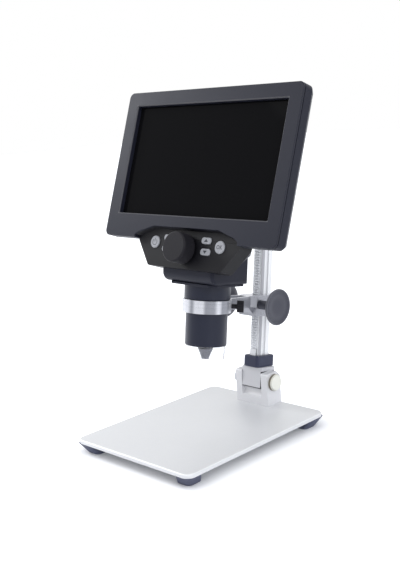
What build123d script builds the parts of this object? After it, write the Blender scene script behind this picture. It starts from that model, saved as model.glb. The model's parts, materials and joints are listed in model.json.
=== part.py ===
from build123d import *

import os
from math import acos, cos, pi, radians, sin, sqrt, tan

# A digital microscope: a seven-inch display over a focusing barrel, held by a ring on a
# rack-and-pinion pole that leans in a clamped hinge on a flat base plate.
#
# Millimetres. +X is the user's right, -Y the front, +Z up. The origin is on the table,
# under the middle of the whole object.
#
# Three frames are used:
#   base   unturned, for the plate, its feet and the hinge bracket
#   stand  on the hinge axis, leaning back with the pole, for all that the pole carries
#   screen in the middle of the display window, on the bezel's front plane, z out of it

# ---------------------------------------------------------------- driving dimensions

# Fits and common thicknesses
RUNNING = 0.05            # radial gap of a shaft or tube that turns or slides in its bore
SLIDING = 0.08            # gap on each side of the pole in the slider
SEAT_GAP = 0.3            # gap between bodies that only come to rest on each other
SHELL = 2.0               # wall of the moulded housings
LIP_GAP = 0.15            # gap between the front skirt and the rear wall
KEY_GAP = 0.25            # gap round a button cap

# Base plate and feet
PLATE_WIDTH = 122.2
PLATE_DEPTH = 154.4
PLATE_THICKNESS = 3.0
PLATE_CORNER = 6.5
PLATE_BEVEL = 0.6
FOOT_HEIGHT = 8.0
FOOT_TOP = 15.0
FOOT_BOTTOM = 14.0
FOOT_RAKE = 5.1           # how far the foot's outer faces come in by the table
FOOT_CORNER = 4.0
FOOT_SCREW_RADIUS = 1.5
FOOT_SCREW_HEAD = 2.8
FOOT_SCREW_RECESS = 4.0
FOOT_SCREW_BITE = 2.2     # how far it goes into the plate

# Hinge
STAND_LEAN = 8.44         # degrees the pole leans back at rest
HINGE_BEHIND_MIDDLE = 68.6
HINGE_HEIGHT = 18.8       # axis above the plate's top face
BOLT_RADIUS = 3.0
BOLT_HEAD_RADIUS = 7.0
BOLT_HEAD_HEIGHT = 3.8
NUT_ACROSS_FLATS = 10.0
NUT_HEIGHT = 4.0
WASHER_RADIUS = 5.8
WASHER_THICKNESS = 0.8
TONGUE_WIDTH = 20.4
EAR_GAP = 0.2             # on each side of the tongue
EAR_THICKNESS = 6.4
EAR_DEPTH = 17.2
EAR_RISE = 8.5            # above the axis
EAR_FRONT_FILLET = 1.5
EAR_BACK_CHAMFER = 4.5
BRACKET_FLOOR = 6.5
WEB_THICKNESS = 5.0
WEB_SCOOP_RADIUS = 5.0
BRACKET_SCREW_RADIUS = 1.5
BRACKET_SCREW_HEAD = 2.9
BRACKET_SCREW_BITE = 8.0
BRACKET_SCREW_SPACING = 8.0

# Pivot block, collar and pole
TONGUE_DEPTH = 16.2
TONGUE_DROP = 5.7         # below the axis
TONGUE_RISE = 11.5        # above the axis
TONGUE_HEEL = 5.0         # rounding of the lower back edge
COLLAR_WIDTH = 15.6
COLLAR_DEPTH = 21.6
COLLAR_HEIGHT = 9.3
COLLAR_CORNER = 2.5
COLLAR_BEVEL = 0.8
POLE_WIDTH = 9.0
POLE_DEPTH = 13.2
POLE_TOP = 187.0
POLE_SEAT = 4.5           # bottom of the pole above the axis
POLE_CORNER = 0.5
SIDE_GROOVE_WIDTH = 3.6
SIDE_GROOVE_DEPTH = 0.9
CAP_HEIGHT = 3.0

# Height rack and pinion
GEAR_MODULE = 0.7
PINION_TEETH = 14
PRESSURE_ANGLE = 20.0
TOOTH_ROOT = 1.25         # tooth depth inside the pitch line, in modules
BACKLASH = 0.10
RACK_WIDTH = 5.0
RACK_SEAT = 2.0           # depth of the rack's groove in the pole
RACK_FOOT = 0.4           # toothless strip left in front of the pole's face
RACK_FIRST_TOOTH = 25.5
RACK_TOP_MARGIN = 4.0
PINION_WIDTH = 5.4
SHAFT_RADIUS = 2.5
KNOB_RADIUS = 14.6
KNOB_OUTER = 29.2         # outer face from the middle
KNOB_THICKNESS = 4.8
KNOB_PROFILE = (          # the disc's back: radius and depth as shares of the two above
    (0.62, 1.0), (0.85, 0.75), (0.96, 0.5), (1.0, 0.3), (1.0, 0.16), (0.97, 0.0),
)
KNOB_RIM = 1.3            # width of the raised rim
KNOB_DISH = 1.6           # depth of the hollow in the outer face
KNOB_HUB_RADIUS = 3.65
KNOB_SHAFT_END = 26.0

# Slider and arm
ARM_TOP = 70.9
ARM_BOTTOM = 61.8
BLOCK_BOTTOM = 54.5
BLOCK_HALF_WIDTH = 9.2
BLOCK_BACK_WALL = 3.0
BLOCK_CORNER = 1.5
BLOCK_FRONT_DROP = 3.8    # block's front face below the arm, in front of the pinion's axis
BLOCK_NOSE = 1.3          # wall in front of the pinion's cavity, where the arm leaves the block
ARM_ROOT_HALF_WIDTH = 5.5
ARM_RING_HALF_WIDTH = 10.0
ARM_GUSSET = 5.8          # reach of the gusset under the arm
ARM_POCKET_DEPTH = 3.5
ARM_POCKET_WALL = 2.4
PINION_ROOF = 0.9         # wall over the pinion's cavity
PAD_WIDTH = 7.0
PAD_THICKNESS = 1.7
PAD_MARGIN = 1.8
PAD_SCREW_RADIUS = 1.5
RING_WALL = 2.6
RING_HEIGHT = 10.0
CLAMP_ANGLE = 40.0        # degrees from +X towards the back
CLAMP_RADIUS = 1.75
CLAMP_KNOB_RADIUS = 4.65
CLAMP_KNOB_GAP = 4.3      # bare screw between the ring and the knob
CLAMP_KNOB_LENGTH = 5.2
CLAMP_KNOB_FLOOR = 1.5    # wall over the screw's end
CLAMP_FLUTES = 14
CLAMP_FLUTE_RADIUS = 0.55

# Barrel and optics
BARREL_REACH = 64.8       # barrel axis in front of the hinge axis
BARREL_RADIUS = 16.3
BARREL_WALL = 2.8
BARREL_LIP = 1.4          # wall left round the hood's spigot
BARREL_BEVEL = 0.6
BARREL_BOTTOM = 35.2
SHOULDER = 1.7            # how far the collar over the ring stands out
HOOD_BOTTOM = 24.4
HOOD_STEP = 0.4           # hood's top inside the barrel's outline
HOOD_TAPER = 1.1
HOOD_WALL = 1.2
HOOD_SPIGOT = 3.8
LED_BOARD_THICKNESS = 1.2
LED_BOARD_HOLE = 7.2
LED_COUNT = 8
LED_INSET = 5.3           # lamp circle inside the barrel's outline
LED_SIZE = 3.0            # square lamp packages
LED_HEIGHT = 1.4
LENS_TRAVEL = 8.0
CARRIAGE_WALL = 1.95
CARRIAGE_BOTTOM = 47.0
CARRIAGE_RISE = 3.0       # top of the carriage above the housing's underside
CARRIAGE_FLOOR = 3.0
SNOUT_RADIUS = 5.8
SNOUT_BORE = 4.3
CONE_TOP = 32.8
CONE_BOTTOM = 24.7
CONE_TIP_RADIUS = 3.0
CONE_LIP = 1.2
CONE_BORE = 1.6
FRONT_LENS_RADIUS = 2.4
FRONT_LENS_THICKNESS = 1.6
FIELD_LENS_MARGIN = 2.5   # between the lens and the carriage's wall
FIELD_LENS_THICKNESS = 3.0

# Camera housing under and behind the display
HOUSING_SIDE = 10.6       # outside the barrel's outline
HOUSING_FRONT = 7.7
HOUSING_BACK = 0.2
HOUSING_BOTTOM = 84.0
HOUSING_HEIGHT = 44.0
HOUSING_FRONT_ROUND = 7.0
HOUSING_CORNER = 2.5
HOUSING_BACK_CHAMFER = 7.0
FLANGE_PLATE = 1.8
FLANGE_INSET = 2.5        # behind the housing's sides and back
FLANGE_FRONT_INSET = 3.5
FLANGE_NOSE = 5.2         # cut off each front corner
SENSOR_BOARD = 20.0
SENSOR_BOARD_EARS = 2.0
SENSOR_POST_RADIUS = 1.5
SENSOR_POST_PLACE = (9.0, 7.8)
SENSOR_BOARD_THICKNESS = 1.4
SENSOR_DROP = 1.6         # board below the housing's ceiling
SENSOR_SIZE = 8.0
SENSOR_HEIGHT = 1.2

# Display head
SCREEN_LEAN = 11.62       # degrees the display leans back from the pole
FOCUS_AHEAD = 13.96       # focus shaft at the bezel's plane, in front of the barrel
FOCUS_ABOVE = 26.4        # and above the housing's underside
WINDOW_WIDTH = 155.5
WINDOW_HEIGHT = 87.5
WINDOW_CHAMFER = 0.8
WINDOW_CORNER = 1.0
BEZEL_SIDE = 12.1         # frame beside the window
BEZEL_TOP = 11.25
BEZEL_FOOT = 18.95
BEZEL_CORNER = 4.5
BEZEL_EDGE = 1.6          # thickness of the front frame at its edge
BEZEL_BEVEL = 0.4
PARTING_GROOVE = 0.6
SKIRT_WALL = 1.4
SKIRT_DEPTH = 6.0
RIM_WALL = 2.0
GLASS_DEPTH = 4.4
GLASS_THICKNESS = 1.1
GLASS_OVERLAP = 1.6
PANEL_SIDE = 1.75         # panel outside the window
PANEL_END = 4.75
PANEL_THICKNESS = 5.7
SIDE_WALL_DEPTH = 9.8
TRAY_DEPTH = 16.0
TRAY_TAPER = 4.0
BACK_DEPTH = 25.5
BACK_TAPER = 7.0
BACK_DROP = 17.0          # raised back below the top edge

# Chin with the buttons and the focus knob; heights are from the bezel's lower edge
CHIN_DEPTH = 5.0          # face behind the bezel's plane
CHIN_PLATE = 2.0
CHIN_SIDE_DEPTH = 18.0
CHIN_HALF_WIDTH = 53.5
CHIN_FOOT_HALF_WIDTH = 38.3
CHIN_SHOULDER = -0.8
CHIN_BOTTOM = -20.3
CHIN_CORNER = 3.5
RECESS_OUTLINE = ((54.2, 2.5), (50.0, 5.2), (40.0, 8.2), (34.5, 10.1))
RECESS_SLOPE = 1.5        # how far the recess walls lean in
ROUND_KEY_RADIUS = 4.8
ROUND_KEY_PLACE = (34.2, -1.7)
SLOT_KEY_SIZE = (9.7, 5.0)
SLOT_KEY_CORNER = 2.1
UPPER_KEY_PLACE = (19.9, 2.3)
LOWER_KEY_PLACE = (20.5, -6.1)
KEY_PROUD = 0.8           # caps stand out of the chin's face
KEY_EDGE = 0.4
KEY_FLANGE = 0.8
KEY_FLANGE_GROW = 1.0     # flange outside the cap
KEY_STEM_RADIUS = 1.5
KEY_STEM_LENGTH = 1.1
KEY_TRAVEL = 0.5
SWITCH_SIZE = 4.5
SWITCH_HEIGHT = 0.7
SWITCH_PLUNGER_RADIUS = 1.2
SWITCH_CLEARANCE = 0.1
KEY_BOARD_DEPTH = 10.6
KEY_BOARD_THICKNESS = 1.2
KEY_BOARD_HALF_WIDTH = 38.0
KEY_BOARD_SPAN = (-15.3, 6.7)
KEY_POSTS = ((28.0, -13.3), (10.5, 5.2))
KEY_POST_RADIUS = 1.5

# Focus knob, shaft and rack
FOCUS_DROP = 5.6          # shaft below the bezel's lower edge
FOCUS_KNOB_RADIUS = 11.7
FOCUS_KNOB_FRONT = 8.8    # in front of the bezel's plane
FOCUS_KNOB_EDGE = 0.9
FOCUS_BOSS_RADIUS = 9.0
FOCUS_BOSS_HEIGHT = 1.4
FOCUS_TUBE_RADIUS = 4.5
FOCUS_TUBE_DEPTH = 13.0
FOCUS_SHAFT_RADIUS = 2.0
FOCUS_MODULE = 0.5
FOCUS_TEETH = 16
FOCUS_GEAR_WIDTH = 5.0
FOCUS_RACK_INSET = 3.12   # rack's middle inside the barrel's bore
FOCUS_RACK_THICKNESS = 4.0
FOCUS_RACK_DEPTH = 4.7
FOCUS_RACK_SPARE = 6.0    # teeth past the gear's middle at both ends of the travel

# Boards, battery and sockets inside the head
BOARD_THICKNESS = 1.6
MAIN_BOARD_DEPTH = 14.0
MAIN_BOARD_HALF_WIDTH = 42.0
MAIN_BOARD_SPAN = (-44.0, 31.0)
BOARD_POST_RADIUS = 2.5
BOARD_POST_INSET = 4.0
BATTERY_SIZE = (56.0, 54.0, 6.0)
BATTERY_CORNER = 2.0
IO_BOARD_WIDTH = 5.0
IO_BOARD_SPAN = (-32.0, 16.0)
IO_BOARD_DEPTH = 8.4
IO_BOARD_THICKNESS = 1.0
USB_PLACE = -20.0
USB_SIZE = (7.8, 2.8)     # along the side, and through the wall's depth
CARD_PLACE = 4.0
CARD_SIZE = (12.0, 1.8)
SOCKET_LENGTH = 5.8
SOCKET_WALL = 0.4
SOCKET_SETBACK = 0.4      # socket's mouth behind the side wall's face
CASE_SCREW_INSETS = (6.45, 9.0, 9.7)  # from the side, the top and the lower edge
CASE_SCREW_RADIUS = 1.0
CASE_SCREW_HEAD = 2.4
CASE_SCREW_HEAD_HEIGHT = 1.8
CASE_SCREW_RECESS = 3.0   # seat of the head behind the tray's back
CASE_SCREW_SKIN = 1.0     # left in front of the screw's bore, and twice that of its tip
CASE_BOSS_RADIUS = 2.6
CASE_REAR_BOSS_RADIUS = 3.6

# ---------------------------------------------------------------- places worked out

lean = radians(STAND_LEAN)
cap_top = POLE_TOP + CAP_HEIGHT
pole_overhang = POLE_DEPTH / 2 * cos(lean) + cap_top * sin(lean)
plate_y = -(HINGE_BEHIND_MIDDLE + pole_overhang - PLATE_DEPTH / 2) / 2
plate_top = FOOT_HEIGHT + PLATE_THICKNESS
hinge_y = plate_y + HINGE_BEHIND_MIDDLE
hinge_z = plate_top + HINGE_HEIGHT

plate_frame = Pos(0, plate_y, plate_top)
hinge_frame = Pos(0, hinge_y, hinge_z)
stand_frame = Location((0, hinge_y, hinge_z), (-STAND_LEAN, 0, 0))

tongue_half = TONGUE_WIDTH / 2
ear_inner = tongue_half + EAR_GAP
ear_outer = ear_inner + EAR_THICKNESS
rack_face = POLE_DEPTH / 2 + RACK_FOOT
pitch_line = rack_face + TOOTH_ROOT * GEAR_MODULE
pinion_pitch = GEAR_MODULE * PINION_TEETH / 2
pinion_y = -(pitch_line + pinion_pitch)
pinion_cavity = pinion_pitch + GEAR_MODULE + SEAT_GAP
pinion_height = ARM_TOP - PINION_ROOF - pinion_cavity
block_front = pinion_y - BLOCK_FRONT_DROP
block_nose = pinion_y - pinion_cavity - BLOCK_NOSE
slot_half_depth = POLE_DEPTH / 2 + SLIDING
pad_back = slot_half_depth + PAD_THICKNESS
block_back = pad_back + BLOCK_BACK_WALL

barrel_y = -BARREL_REACH
barrel_bore = BARREL_RADIUS - BARREL_WALL
barrel_mouth = BARREL_RADIUS - BARREL_LIP
ring_radius = BARREL_RADIUS + RING_WALL
carriage_radius = barrel_bore - RUNNING
carriage_bore = carriage_radius - CARRIAGE_WALL
carriage_top = HOUSING_BOTTOM + CARRIAGE_RISE
led_board_bottom = BARREL_BOTTOM + HOOD_SPIGOT
led_board_top = led_board_bottom + LED_BOARD_THICKNESS
housing_half = BARREL_RADIUS + HOUSING_SIDE
housing_front = barrel_y - BARREL_RADIUS - HOUSING_FRONT
housing_back = barrel_y + BARREL_RADIUS + HOUSING_BACK
housing_top = HOUSING_BOTTOM + HOUSING_HEIGHT
sensor_board_top = housing_top - SHELL - SENSOR_DROP
sensor_board_half = SENSOR_BOARD / 2 + SENSOR_BOARD_EARS

bezel_width = WINDOW_WIDTH + 2 * BEZEL_SIDE
bezel_above = WINDOW_HEIGHT / 2 + BEZEL_TOP
bezel_below = WINDOW_HEIGHT / 2 + BEZEL_FOOT
bezel_height = bezel_above + bezel_below
bezel_middle = (bezel_above - bezel_below) / 2
chin_floor_back = CHIN_DEPTH + CHIN_PLATE
focus_pitch = FOCUS_MODULE * FOCUS_TEETH / 2
focus_below = bezel_below + FOCUS_DROP
focus_y = barrel_y - BARREL_RADIUS - FOCUS_AHEAD
focus_rack_y = barrel_y - barrel_bore + FOCUS_RACK_INSET
focus_gear_depth = (focus_rack_y - focus_y) / cos(radians(SCREEN_LEAN))

focus_place = Location((0, focus_y, HOUSING_BOTTOM + FOCUS_ABOVE), (90 - SCREEN_LEAN, 0, 0))
screen_in_stand = focus_place * Pos(0, focus_below, 0)
screen_frame = stand_frame * screen_in_stand

nodes = {}


def keep(name, shape, place=None):
    """Places a finished piece in the object and keeps it under its node's name."""
    nodes[name] = shape if place is None else place * shape


# ---------------------------------------------------------------- shared shapes


def block(x, y, z):
    """A box from three (low, high) pairs."""
    size = [high - low for low, high in (x, y, z)]
    middle = [(high + low) / 2 for low, high in (x, y, z)]
    return Pos(*middle) * Box(*size)


def post(radius, low, high, at=(0, 0)):
    """An upright cylinder between two heights."""
    return Pos(at[0], at[1], (low + high) / 2) * Cylinder(radius, high - low)


def axle(radius, low, high, at=(0, 0)):
    """A cylinder along X between two x values, at a (y, z) place."""
    return Pos((low + high) / 2, at[0], at[1]) * Rot(0, 90, 0) * Cylinder(radius, high - low)


def prism_x(points, low, high):
    """A (y, z) polygon drawn out along X."""
    face = Plane.YZ.offset(low) * make_face(Polyline(*points, close=True))
    return extrude(face, high - low)


def prism_z(points, low, high):
    """An (x, y) polygon drawn up along Z."""
    return extrude(Pos(0, 0, low) * make_face(Polyline(*points, close=True)), high - low)


def both_sides(points):
    """Points on the right followed by their mirror images, as one outline."""
    return [*points, *[(-x, y) for x, y in reversed(points)]]


def spin_x(points):
    """A (radius, x) outline turned about the X axis."""
    face = make_face(Polyline(*[(x, 0, r) for r, x in points], close=True))
    return revolve(face, Axis.X)


def spin_z(points):
    """A (radius, z) outline turned about the Z axis."""
    face = make_face(Polyline(*[(r, 0, z) for r, z in points], close=True))
    return revolve(face, Axis.Z)


def involute(angle):
    return tan(angle) - angle


def gear_face(module, teeth):
    """A spur gear's outline with one tooth on +X, thinned by half of the backlash."""
    pitch, alpha = module * teeth / 2, radians(PRESSURE_ANGLE)
    base, tip, root = pitch * cos(alpha), pitch + module, pitch - TOOTH_ROOT * module
    half = pi / (2 * teeth) - BACKLASH / (4 * pitch)
    flank = []
    for step in range(4):
        radius = max(base, root) + (tip - max(base, root)) * step / 3
        turn = half + involute(alpha) - involute(acos(min(1, base / radius)))
        flank.append((radius, turn))
    flank.insert(0, (root, flank[0][1] + 0.1 / teeth))
    points = []
    for tooth in range(teeth):
        middle = 2 * pi * tooth / teeth
        for radius, turn in flank:
            points.append((radius * cos(middle - turn), radius * sin(middle - turn)))
        for radius, turn in reversed(flank):
            points.append((radius * cos(middle + turn), radius * sin(middle + turn)))
    return make_face(Polyline(*points, close=True))


def rack_outline(module, phase, low, high):
    """(along, out) points of rack teeth between two heights; out is 0 on the pitch line.

    A gap between teeth is centred on phase, so a gear tooth that points there is in mesh.
    """
    pitch, slope = pi * module, tan(radians(PRESSURE_ANGLE))
    tip, root = module, -TOOTH_ROOT * module
    half = pitch / 4 - BACKLASH / 4
    first = int((low - phase) / pitch) - 1
    points = []
    for index in range(first, first + int((high - low) / pitch) + 4):
        middle = phase + (index + 0.5) * pitch
        if middle - pitch / 2 < low or middle + pitch / 2 > high:
            continue
        points += [
            (middle - half + root * slope, root),
            (middle - half + tip * slope, tip),
            (middle + half - tip * slope, tip),
            (middle + half - root * slope, root),
        ]
    return points


# ---------------------------------------------------------------- base


def foot_middle(size, inset):
    """Middle of a square foot section whose outer faces lie an inset inside the plate."""
    return PLATE_WIDTH / 2 - inset - size / 2, PLATE_DEPTH / 2 - inset - size / 2


def foot_screw_place():
    top, bottom = foot_middle(FOOT_TOP, 0), foot_middle(FOOT_BOTTOM, FOOT_RAKE)
    return (top[0] + bottom[0]) / 2, (top[1] + bottom[1]) / 2


def corners(place):
    """The four mirror images of a place, front left first."""
    x, y = place
    return [(-x, -y), (x, -y), (-x, y), (x, y)]


def bracket_screw_places():
    x = ear_inner + EAR_THICKNESS / 2
    return corners((x, BRACKET_SCREW_SPACING / 2))


def base_plate():
    plate = extrude(RectangleRounded(PLATE_WIDTH, PLATE_DEPTH, PLATE_CORNER), -PLATE_THICKNESS)
    plate = chamfer(plate.faces().sort_by(Axis.Z)[-1].edges(), PLATE_BEVEL)
    for place in corners(foot_screw_place()):
        plate -= post(FOOT_SCREW_RADIUS, -PLATE_THICKNESS, FOOT_SCREW_BITE - PLATE_THICKNESS, place)
    for x, y in bracket_screw_places():
        place = (x, HINGE_BEHIND_MIDDLE + y)
        plate -= post(BRACKET_SCREW_RADIUS, -PLATE_THICKNESS, 0, place)
        plate -= Pos(*place, 0) * countersunk_head()
    return plate


def countersunk_head():
    """The cone of a bracket screw, flush with the plate's underside."""
    height = BRACKET_SCREW_HEAD - BRACKET_SCREW_RADIUS
    middle = height / 2 - PLATE_THICKNESS
    return Pos(0, 0, middle) * Cone(BRACKET_SCREW_HEAD, BRACKET_SCREW_RADIUS, height)


def foot(x_side, y_side):
    top, bottom = foot_middle(FOOT_TOP, 0), foot_middle(FOOT_BOTTOM, FOOT_RAKE)
    low, high = -plate_top, -PLATE_THICKNESS
    pad = loft([
        Pos(bottom[0], bottom[1], low) * RectangleRounded(FOOT_BOTTOM, FOOT_BOTTOM, FOOT_CORNER),
        Pos(top[0], top[1], high) * RectangleRounded(FOOT_TOP, FOOT_TOP, FOOT_CORNER),
    ])
    place = foot_screw_place()
    pad -= post(FOOT_SCREW_RADIUS, low, high, place)
    pad -= post(FOOT_SCREW_HEAD + KEY_GAP, low, low + FOOT_SCREW_RECESS, place)
    if x_side < 0:
        pad = mirror(pad, Plane.YZ)
    if y_side < 0:
        pad = mirror(pad, Plane.XZ)
    return pad


def foot_screws():
    head_low = FOOT_SCREW_RECESS / 2 - plate_top
    head_high = FOOT_SCREW_RECESS - plate_top
    screws = []
    for place in corners(foot_screw_place()):
        shank = post(FOOT_SCREW_RADIUS, head_low, FOOT_SCREW_BITE - PLATE_THICKNESS, place)
        screws.append(shank + post(FOOT_SCREW_HEAD, head_low, head_high, place))
    return Compound(children=screws)


def ear_profile():
    """One ear's (y, z) outline about the hinge axis."""
    half = EAR_DEPTH / 2
    face = make_face(Polyline(
        (-half, -HINGE_HEIGHT), (half, -HINGE_HEIGHT), (half, EAR_RISE - EAR_BACK_CHAMFER),
        (half - EAR_BACK_CHAMFER, EAR_RISE), (-half, EAR_RISE), close=True,
    ))
    front = face.vertices().sort_by(lambda v: v.X - v.Y)[0]
    return fillet(front, EAR_FRONT_FILLET)


def hinge_bracket():
    half, floor = EAR_DEPTH / 2, -HINGE_HEIGHT
    web_top = -TONGUE_DROP - SEAT_GAP
    ear = extrude(Plane.YZ * ear_profile(), EAR_THICKNESS)
    body = Pos(ear_inner, 0, 0) * ear + Pos(-ear_outer, 0, 0) * ear
    body += block((-ear_inner, ear_inner), (-half, half), (floor, floor + BRACKET_FLOOR))
    body += block((-ear_inner, ear_inner), (-half, WEB_THICKNESS - half), (floor, web_top))
    scoop_z = floor + BRACKET_FLOOR + WEB_SCOOP_RADIUS
    scoop_y = WEB_THICKNESS - half - WEB_SCOOP_RADIUS - SHELL
    body -= axle(WEB_SCOOP_RADIUS, -ear_inner, ear_inner, (scoop_y, scoop_z))
    body -= axle(BOLT_RADIUS, -ear_outer, ear_outer)
    for place in bracket_screw_places():
        body -= post(BRACKET_SCREW_RADIUS, floor, floor + BRACKET_SCREW_BITE, place)
    return body


def bracket_screws():
    screws = []
    for x, y in bracket_screw_places():
        place = (x, HINGE_BEHIND_MIDDLE + y)
        shank = post(BRACKET_SCREW_RADIUS, -PLATE_THICKNESS, BRACKET_SCREW_BITE, place)
        screws.append(shank + Pos(*place, 0) * countersunk_head())
    return Compound(children=screws)


def hinge_bolt():
    tip = -(ear_outer + WASHER_THICKNESS + NUT_HEIGHT + SEAT_GAP)
    bevel = BOLT_HEAD_HEIGHT / 4
    return spin_x([
        (0, tip), (BOLT_RADIUS, tip), (BOLT_RADIUS, ear_outer), (BOLT_HEAD_RADIUS, ear_outer),
        (BOLT_HEAD_RADIUS, ear_outer + BOLT_HEAD_HEIGHT - 2 * bevel),
        (BOLT_HEAD_RADIUS - bevel, ear_outer + BOLT_HEAD_HEIGHT - bevel / 2),
        (0, ear_outer + BOLT_HEAD_HEIGHT),
    ])


def hinge_washer():
    low, high = -(ear_outer + WASHER_THICKNESS), -ear_outer
    return axle(WASHER_RADIUS, low, high) - axle(BOLT_RADIUS, low, high)


def hinge_nut():
    high = -(ear_outer + WASHER_THICKNESS)
    hexagon = RegularPolygon(NUT_ACROSS_FLATS / 2, 6, major_radius=False)
    nut = Pos(high - NUT_HEIGHT, 0, 0) * Rot(0, 90, 0) * extrude(hexagon, NUT_HEIGHT)
    return nut - axle(BOLT_RADIUS, high - NUT_HEIGHT, high)


# ---------------------------------------------------------------- pole


def pivot_block():
    half = TONGUE_DEPTH / 2
    body = block((-tongue_half, tongue_half), (-half, half), (-TONGUE_DROP, TONGUE_RISE))
    heel = body.edges().filter_by(Axis.X).sort_by(lambda e: e.center().Y - e.center().Z)[-1]
    body = fillet(heel, TONGUE_HEEL)
    body -= axle(BOLT_RADIUS + RUNNING, -tongue_half, tongue_half)
    return body - pole_hole(POLE_SEAT, TONGUE_RISE)


def pole_hole(low, high):
    """The room that the pole takes in what it stands in."""
    return block((-POLE_WIDTH / 2, POLE_WIDTH / 2), (-POLE_DEPTH / 2, POLE_DEPTH / 2), (low, high))


def pole_collar():
    top = TONGUE_RISE + COLLAR_HEIGHT
    outline = RectangleRounded(COLLAR_WIDTH, COLLAR_DEPTH, COLLAR_CORNER)
    body = extrude(Pos(0, 0, TONGUE_RISE) * outline, COLLAR_HEIGHT)
    body = chamfer(body.faces().sort_by(Axis.Z)[-1].edges(), COLLAR_BEVEL)
    return body - pole_hole(TONGUE_RISE, top)


def pole():
    width, depth = POLE_WIDTH / 2, POLE_DEPTH / 2
    section = RectangleRounded(POLE_WIDTH, POLE_DEPTH, POLE_CORNER)
    section -= Pos(0, RACK_SEAT / 2 - depth) * Rectangle(RACK_WIDTH, RACK_SEAT)
    for side in (-1, 1):
        groove = Rectangle(SIDE_GROOVE_DEPTH, SIDE_GROOVE_WIDTH)
        section -= Pos(side * (width - SIDE_GROOVE_DEPTH / 2), 0) * groove
    return extrude(Pos(0, 0, POLE_SEAT) * section, POLE_TOP - POLE_SEAT)


def pole_cap():
    return pole_hole(POLE_TOP, cap_top)


def rack():
    low, high = TONGUE_RISE + COLLAR_HEIGHT, POLE_TOP
    last = high - RACK_TOP_MARGIN
    back = RACK_SEAT - POLE_DEPTH / 2
    tip = -(pitch_line + GEAR_MODULE)
    teeth = rack_outline(GEAR_MODULE, pinion_height, RACK_FIRST_TOOTH, last)
    blank_top = teeth[0][0] - GEAR_MODULE
    points = [(back, low), (tip, low), (tip, blank_top), (-rack_face, blank_top + GEAR_MODULE / 2)]
    points += [(-pitch_line - out, along) for along, out in teeth]
    points += [(-rack_face, high), (back, high)]
    return prism_x(points, -RACK_WIDTH / 2, RACK_WIDTH / 2)


# ---------------------------------------------------------------- slider


def clamp_axis():
    """Frame on the barrel's axis at the clamp screw's height, x along the screw."""
    return Pos(0, barrel_y, ARM_TOP - RING_HEIGHT / 2) * Rot(0, 0, CLAMP_ANGLE)


def slider_arm():
    ring_joint = barrel_y + sqrt(ring_radius**2 - ARM_RING_HALF_WIDTH**2)
    shoulder = block_nose + BLOCK_HALF_WIDTH - ARM_ROOT_HALF_WIDTH
    plan = both_sides([
        (ARM_ROOT_HALF_WIDTH, block_nose), (BLOCK_HALF_WIDTH, shoulder),
        (BLOCK_HALF_WIDTH, block_back),
    ])
    body = prism_z(plan, ARM_BOTTOM, ARM_TOP)
    body += block(
        (-BLOCK_HALF_WIDTH, BLOCK_HALF_WIDTH), (block_front, block_back), (BLOCK_BOTTOM, ARM_BOTTOM),
    )
    body = fillet(body.edges().filter_by(Axis.Z).group_by(Axis.Y)[-1], BLOCK_CORNER)
    arm = both_sides([(ARM_RING_HALF_WIDTH, ring_joint), (ARM_ROOT_HALF_WIDTH, block_nose)])
    body += prism_z(arm, ARM_BOTTOM, ARM_TOP)
    gusset = [
        (block_front - ARM_GUSSET, ARM_BOTTOM), (block_front, ARM_BOTTOM - ARM_GUSSET),
        (block_front, ARM_BOTTOM),
    ]
    body += prism_x(gusset, -ARM_ROOT_HALF_WIDTH, ARM_ROOT_HALF_WIDTH)
    body += post(ring_radius, ARM_TOP - RING_HEIGHT, ARM_TOP, (0, barrel_y))
    pocket = both_sides([
        (ARM_RING_HALF_WIDTH - ARM_POCKET_WALL, barrel_y + ring_radius + ARM_POCKET_WALL),
        (ARM_ROOT_HALF_WIDTH - ARM_POCKET_WALL, block_nose - ARM_POCKET_WALL),
    ])
    body -= prism_z(pocket, ARM_TOP - ARM_POCKET_DEPTH, ARM_TOP)
    body -= post(BARREL_RADIUS + RUNNING, ARM_TOP - RING_HEIGHT, ARM_TOP, (0, barrel_y))
    body -= clamp_axis() * axle(CLAMP_RADIUS + RUNNING, BARREL_RADIUS, ring_radius + RING_WALL)
    return slider_bores(body)


def slider_bores(body):
    """Cuts the pole's passage, the pinion's cavity and the pad's seat out of the block."""
    half_width = POLE_WIDTH / 2 + SLIDING
    rack_half = RACK_WIDTH / 2 + SEAT_GAP
    rack_front = pitch_line + GEAR_MODULE + SEAT_GAP
    height = (BLOCK_BOTTOM, ARM_TOP)
    body -= block((-half_width, half_width), (-slot_half_depth, slot_half_depth), height)
    body -= block((-rack_half, rack_half), (-rack_front, 0), height)
    cavity_end = PINION_WIDTH / 2 + SEAT_GAP
    at = (pinion_y, pinion_height)
    body -= axle(pinion_cavity, -BLOCK_HALF_WIDTH, cavity_end, at)
    body -= axle(SHAFT_RADIUS + RUNNING, 0, BLOCK_HALF_WIDTH, at)
    body -= block((-PAD_WIDTH / 2, PAD_WIDTH / 2), (0, pad_back), pad_height())
    for z in pad_screw_heights():
        body -= pad_screw(z)
    return body


def pad_height():
    """Low and high ends of the slide pad."""
    return BLOCK_BOTTOM + PAD_MARGIN, ARM_TOP - PAD_MARGIN


def pad_screw(height):
    """A headless screw through the block's back wall, onto the pad."""
    middle = (pad_back + block_back) / 2
    return Pos(0, middle, height) * Rot(90, 0, 0) * Cylinder(PAD_SCREW_RADIUS, BLOCK_BACK_WALL)


def pad_screw_heights():
    low, high = pad_height()
    return low + (high - low) / 4, high - (high - low) / 4


def pinion_bush():
    at = (pinion_y, pinion_height)
    low, high = -BLOCK_HALF_WIDTH, -(PINION_WIDTH / 2 + SEAT_GAP)
    return axle(pinion_cavity, low, high, at) - axle(SHAFT_RADIUS + RUNNING, low, high, at)


def slide_pad():
    return block((-PAD_WIDTH / 2, PAD_WIDTH / 2), (slot_half_depth, pad_back), pad_height())


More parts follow.
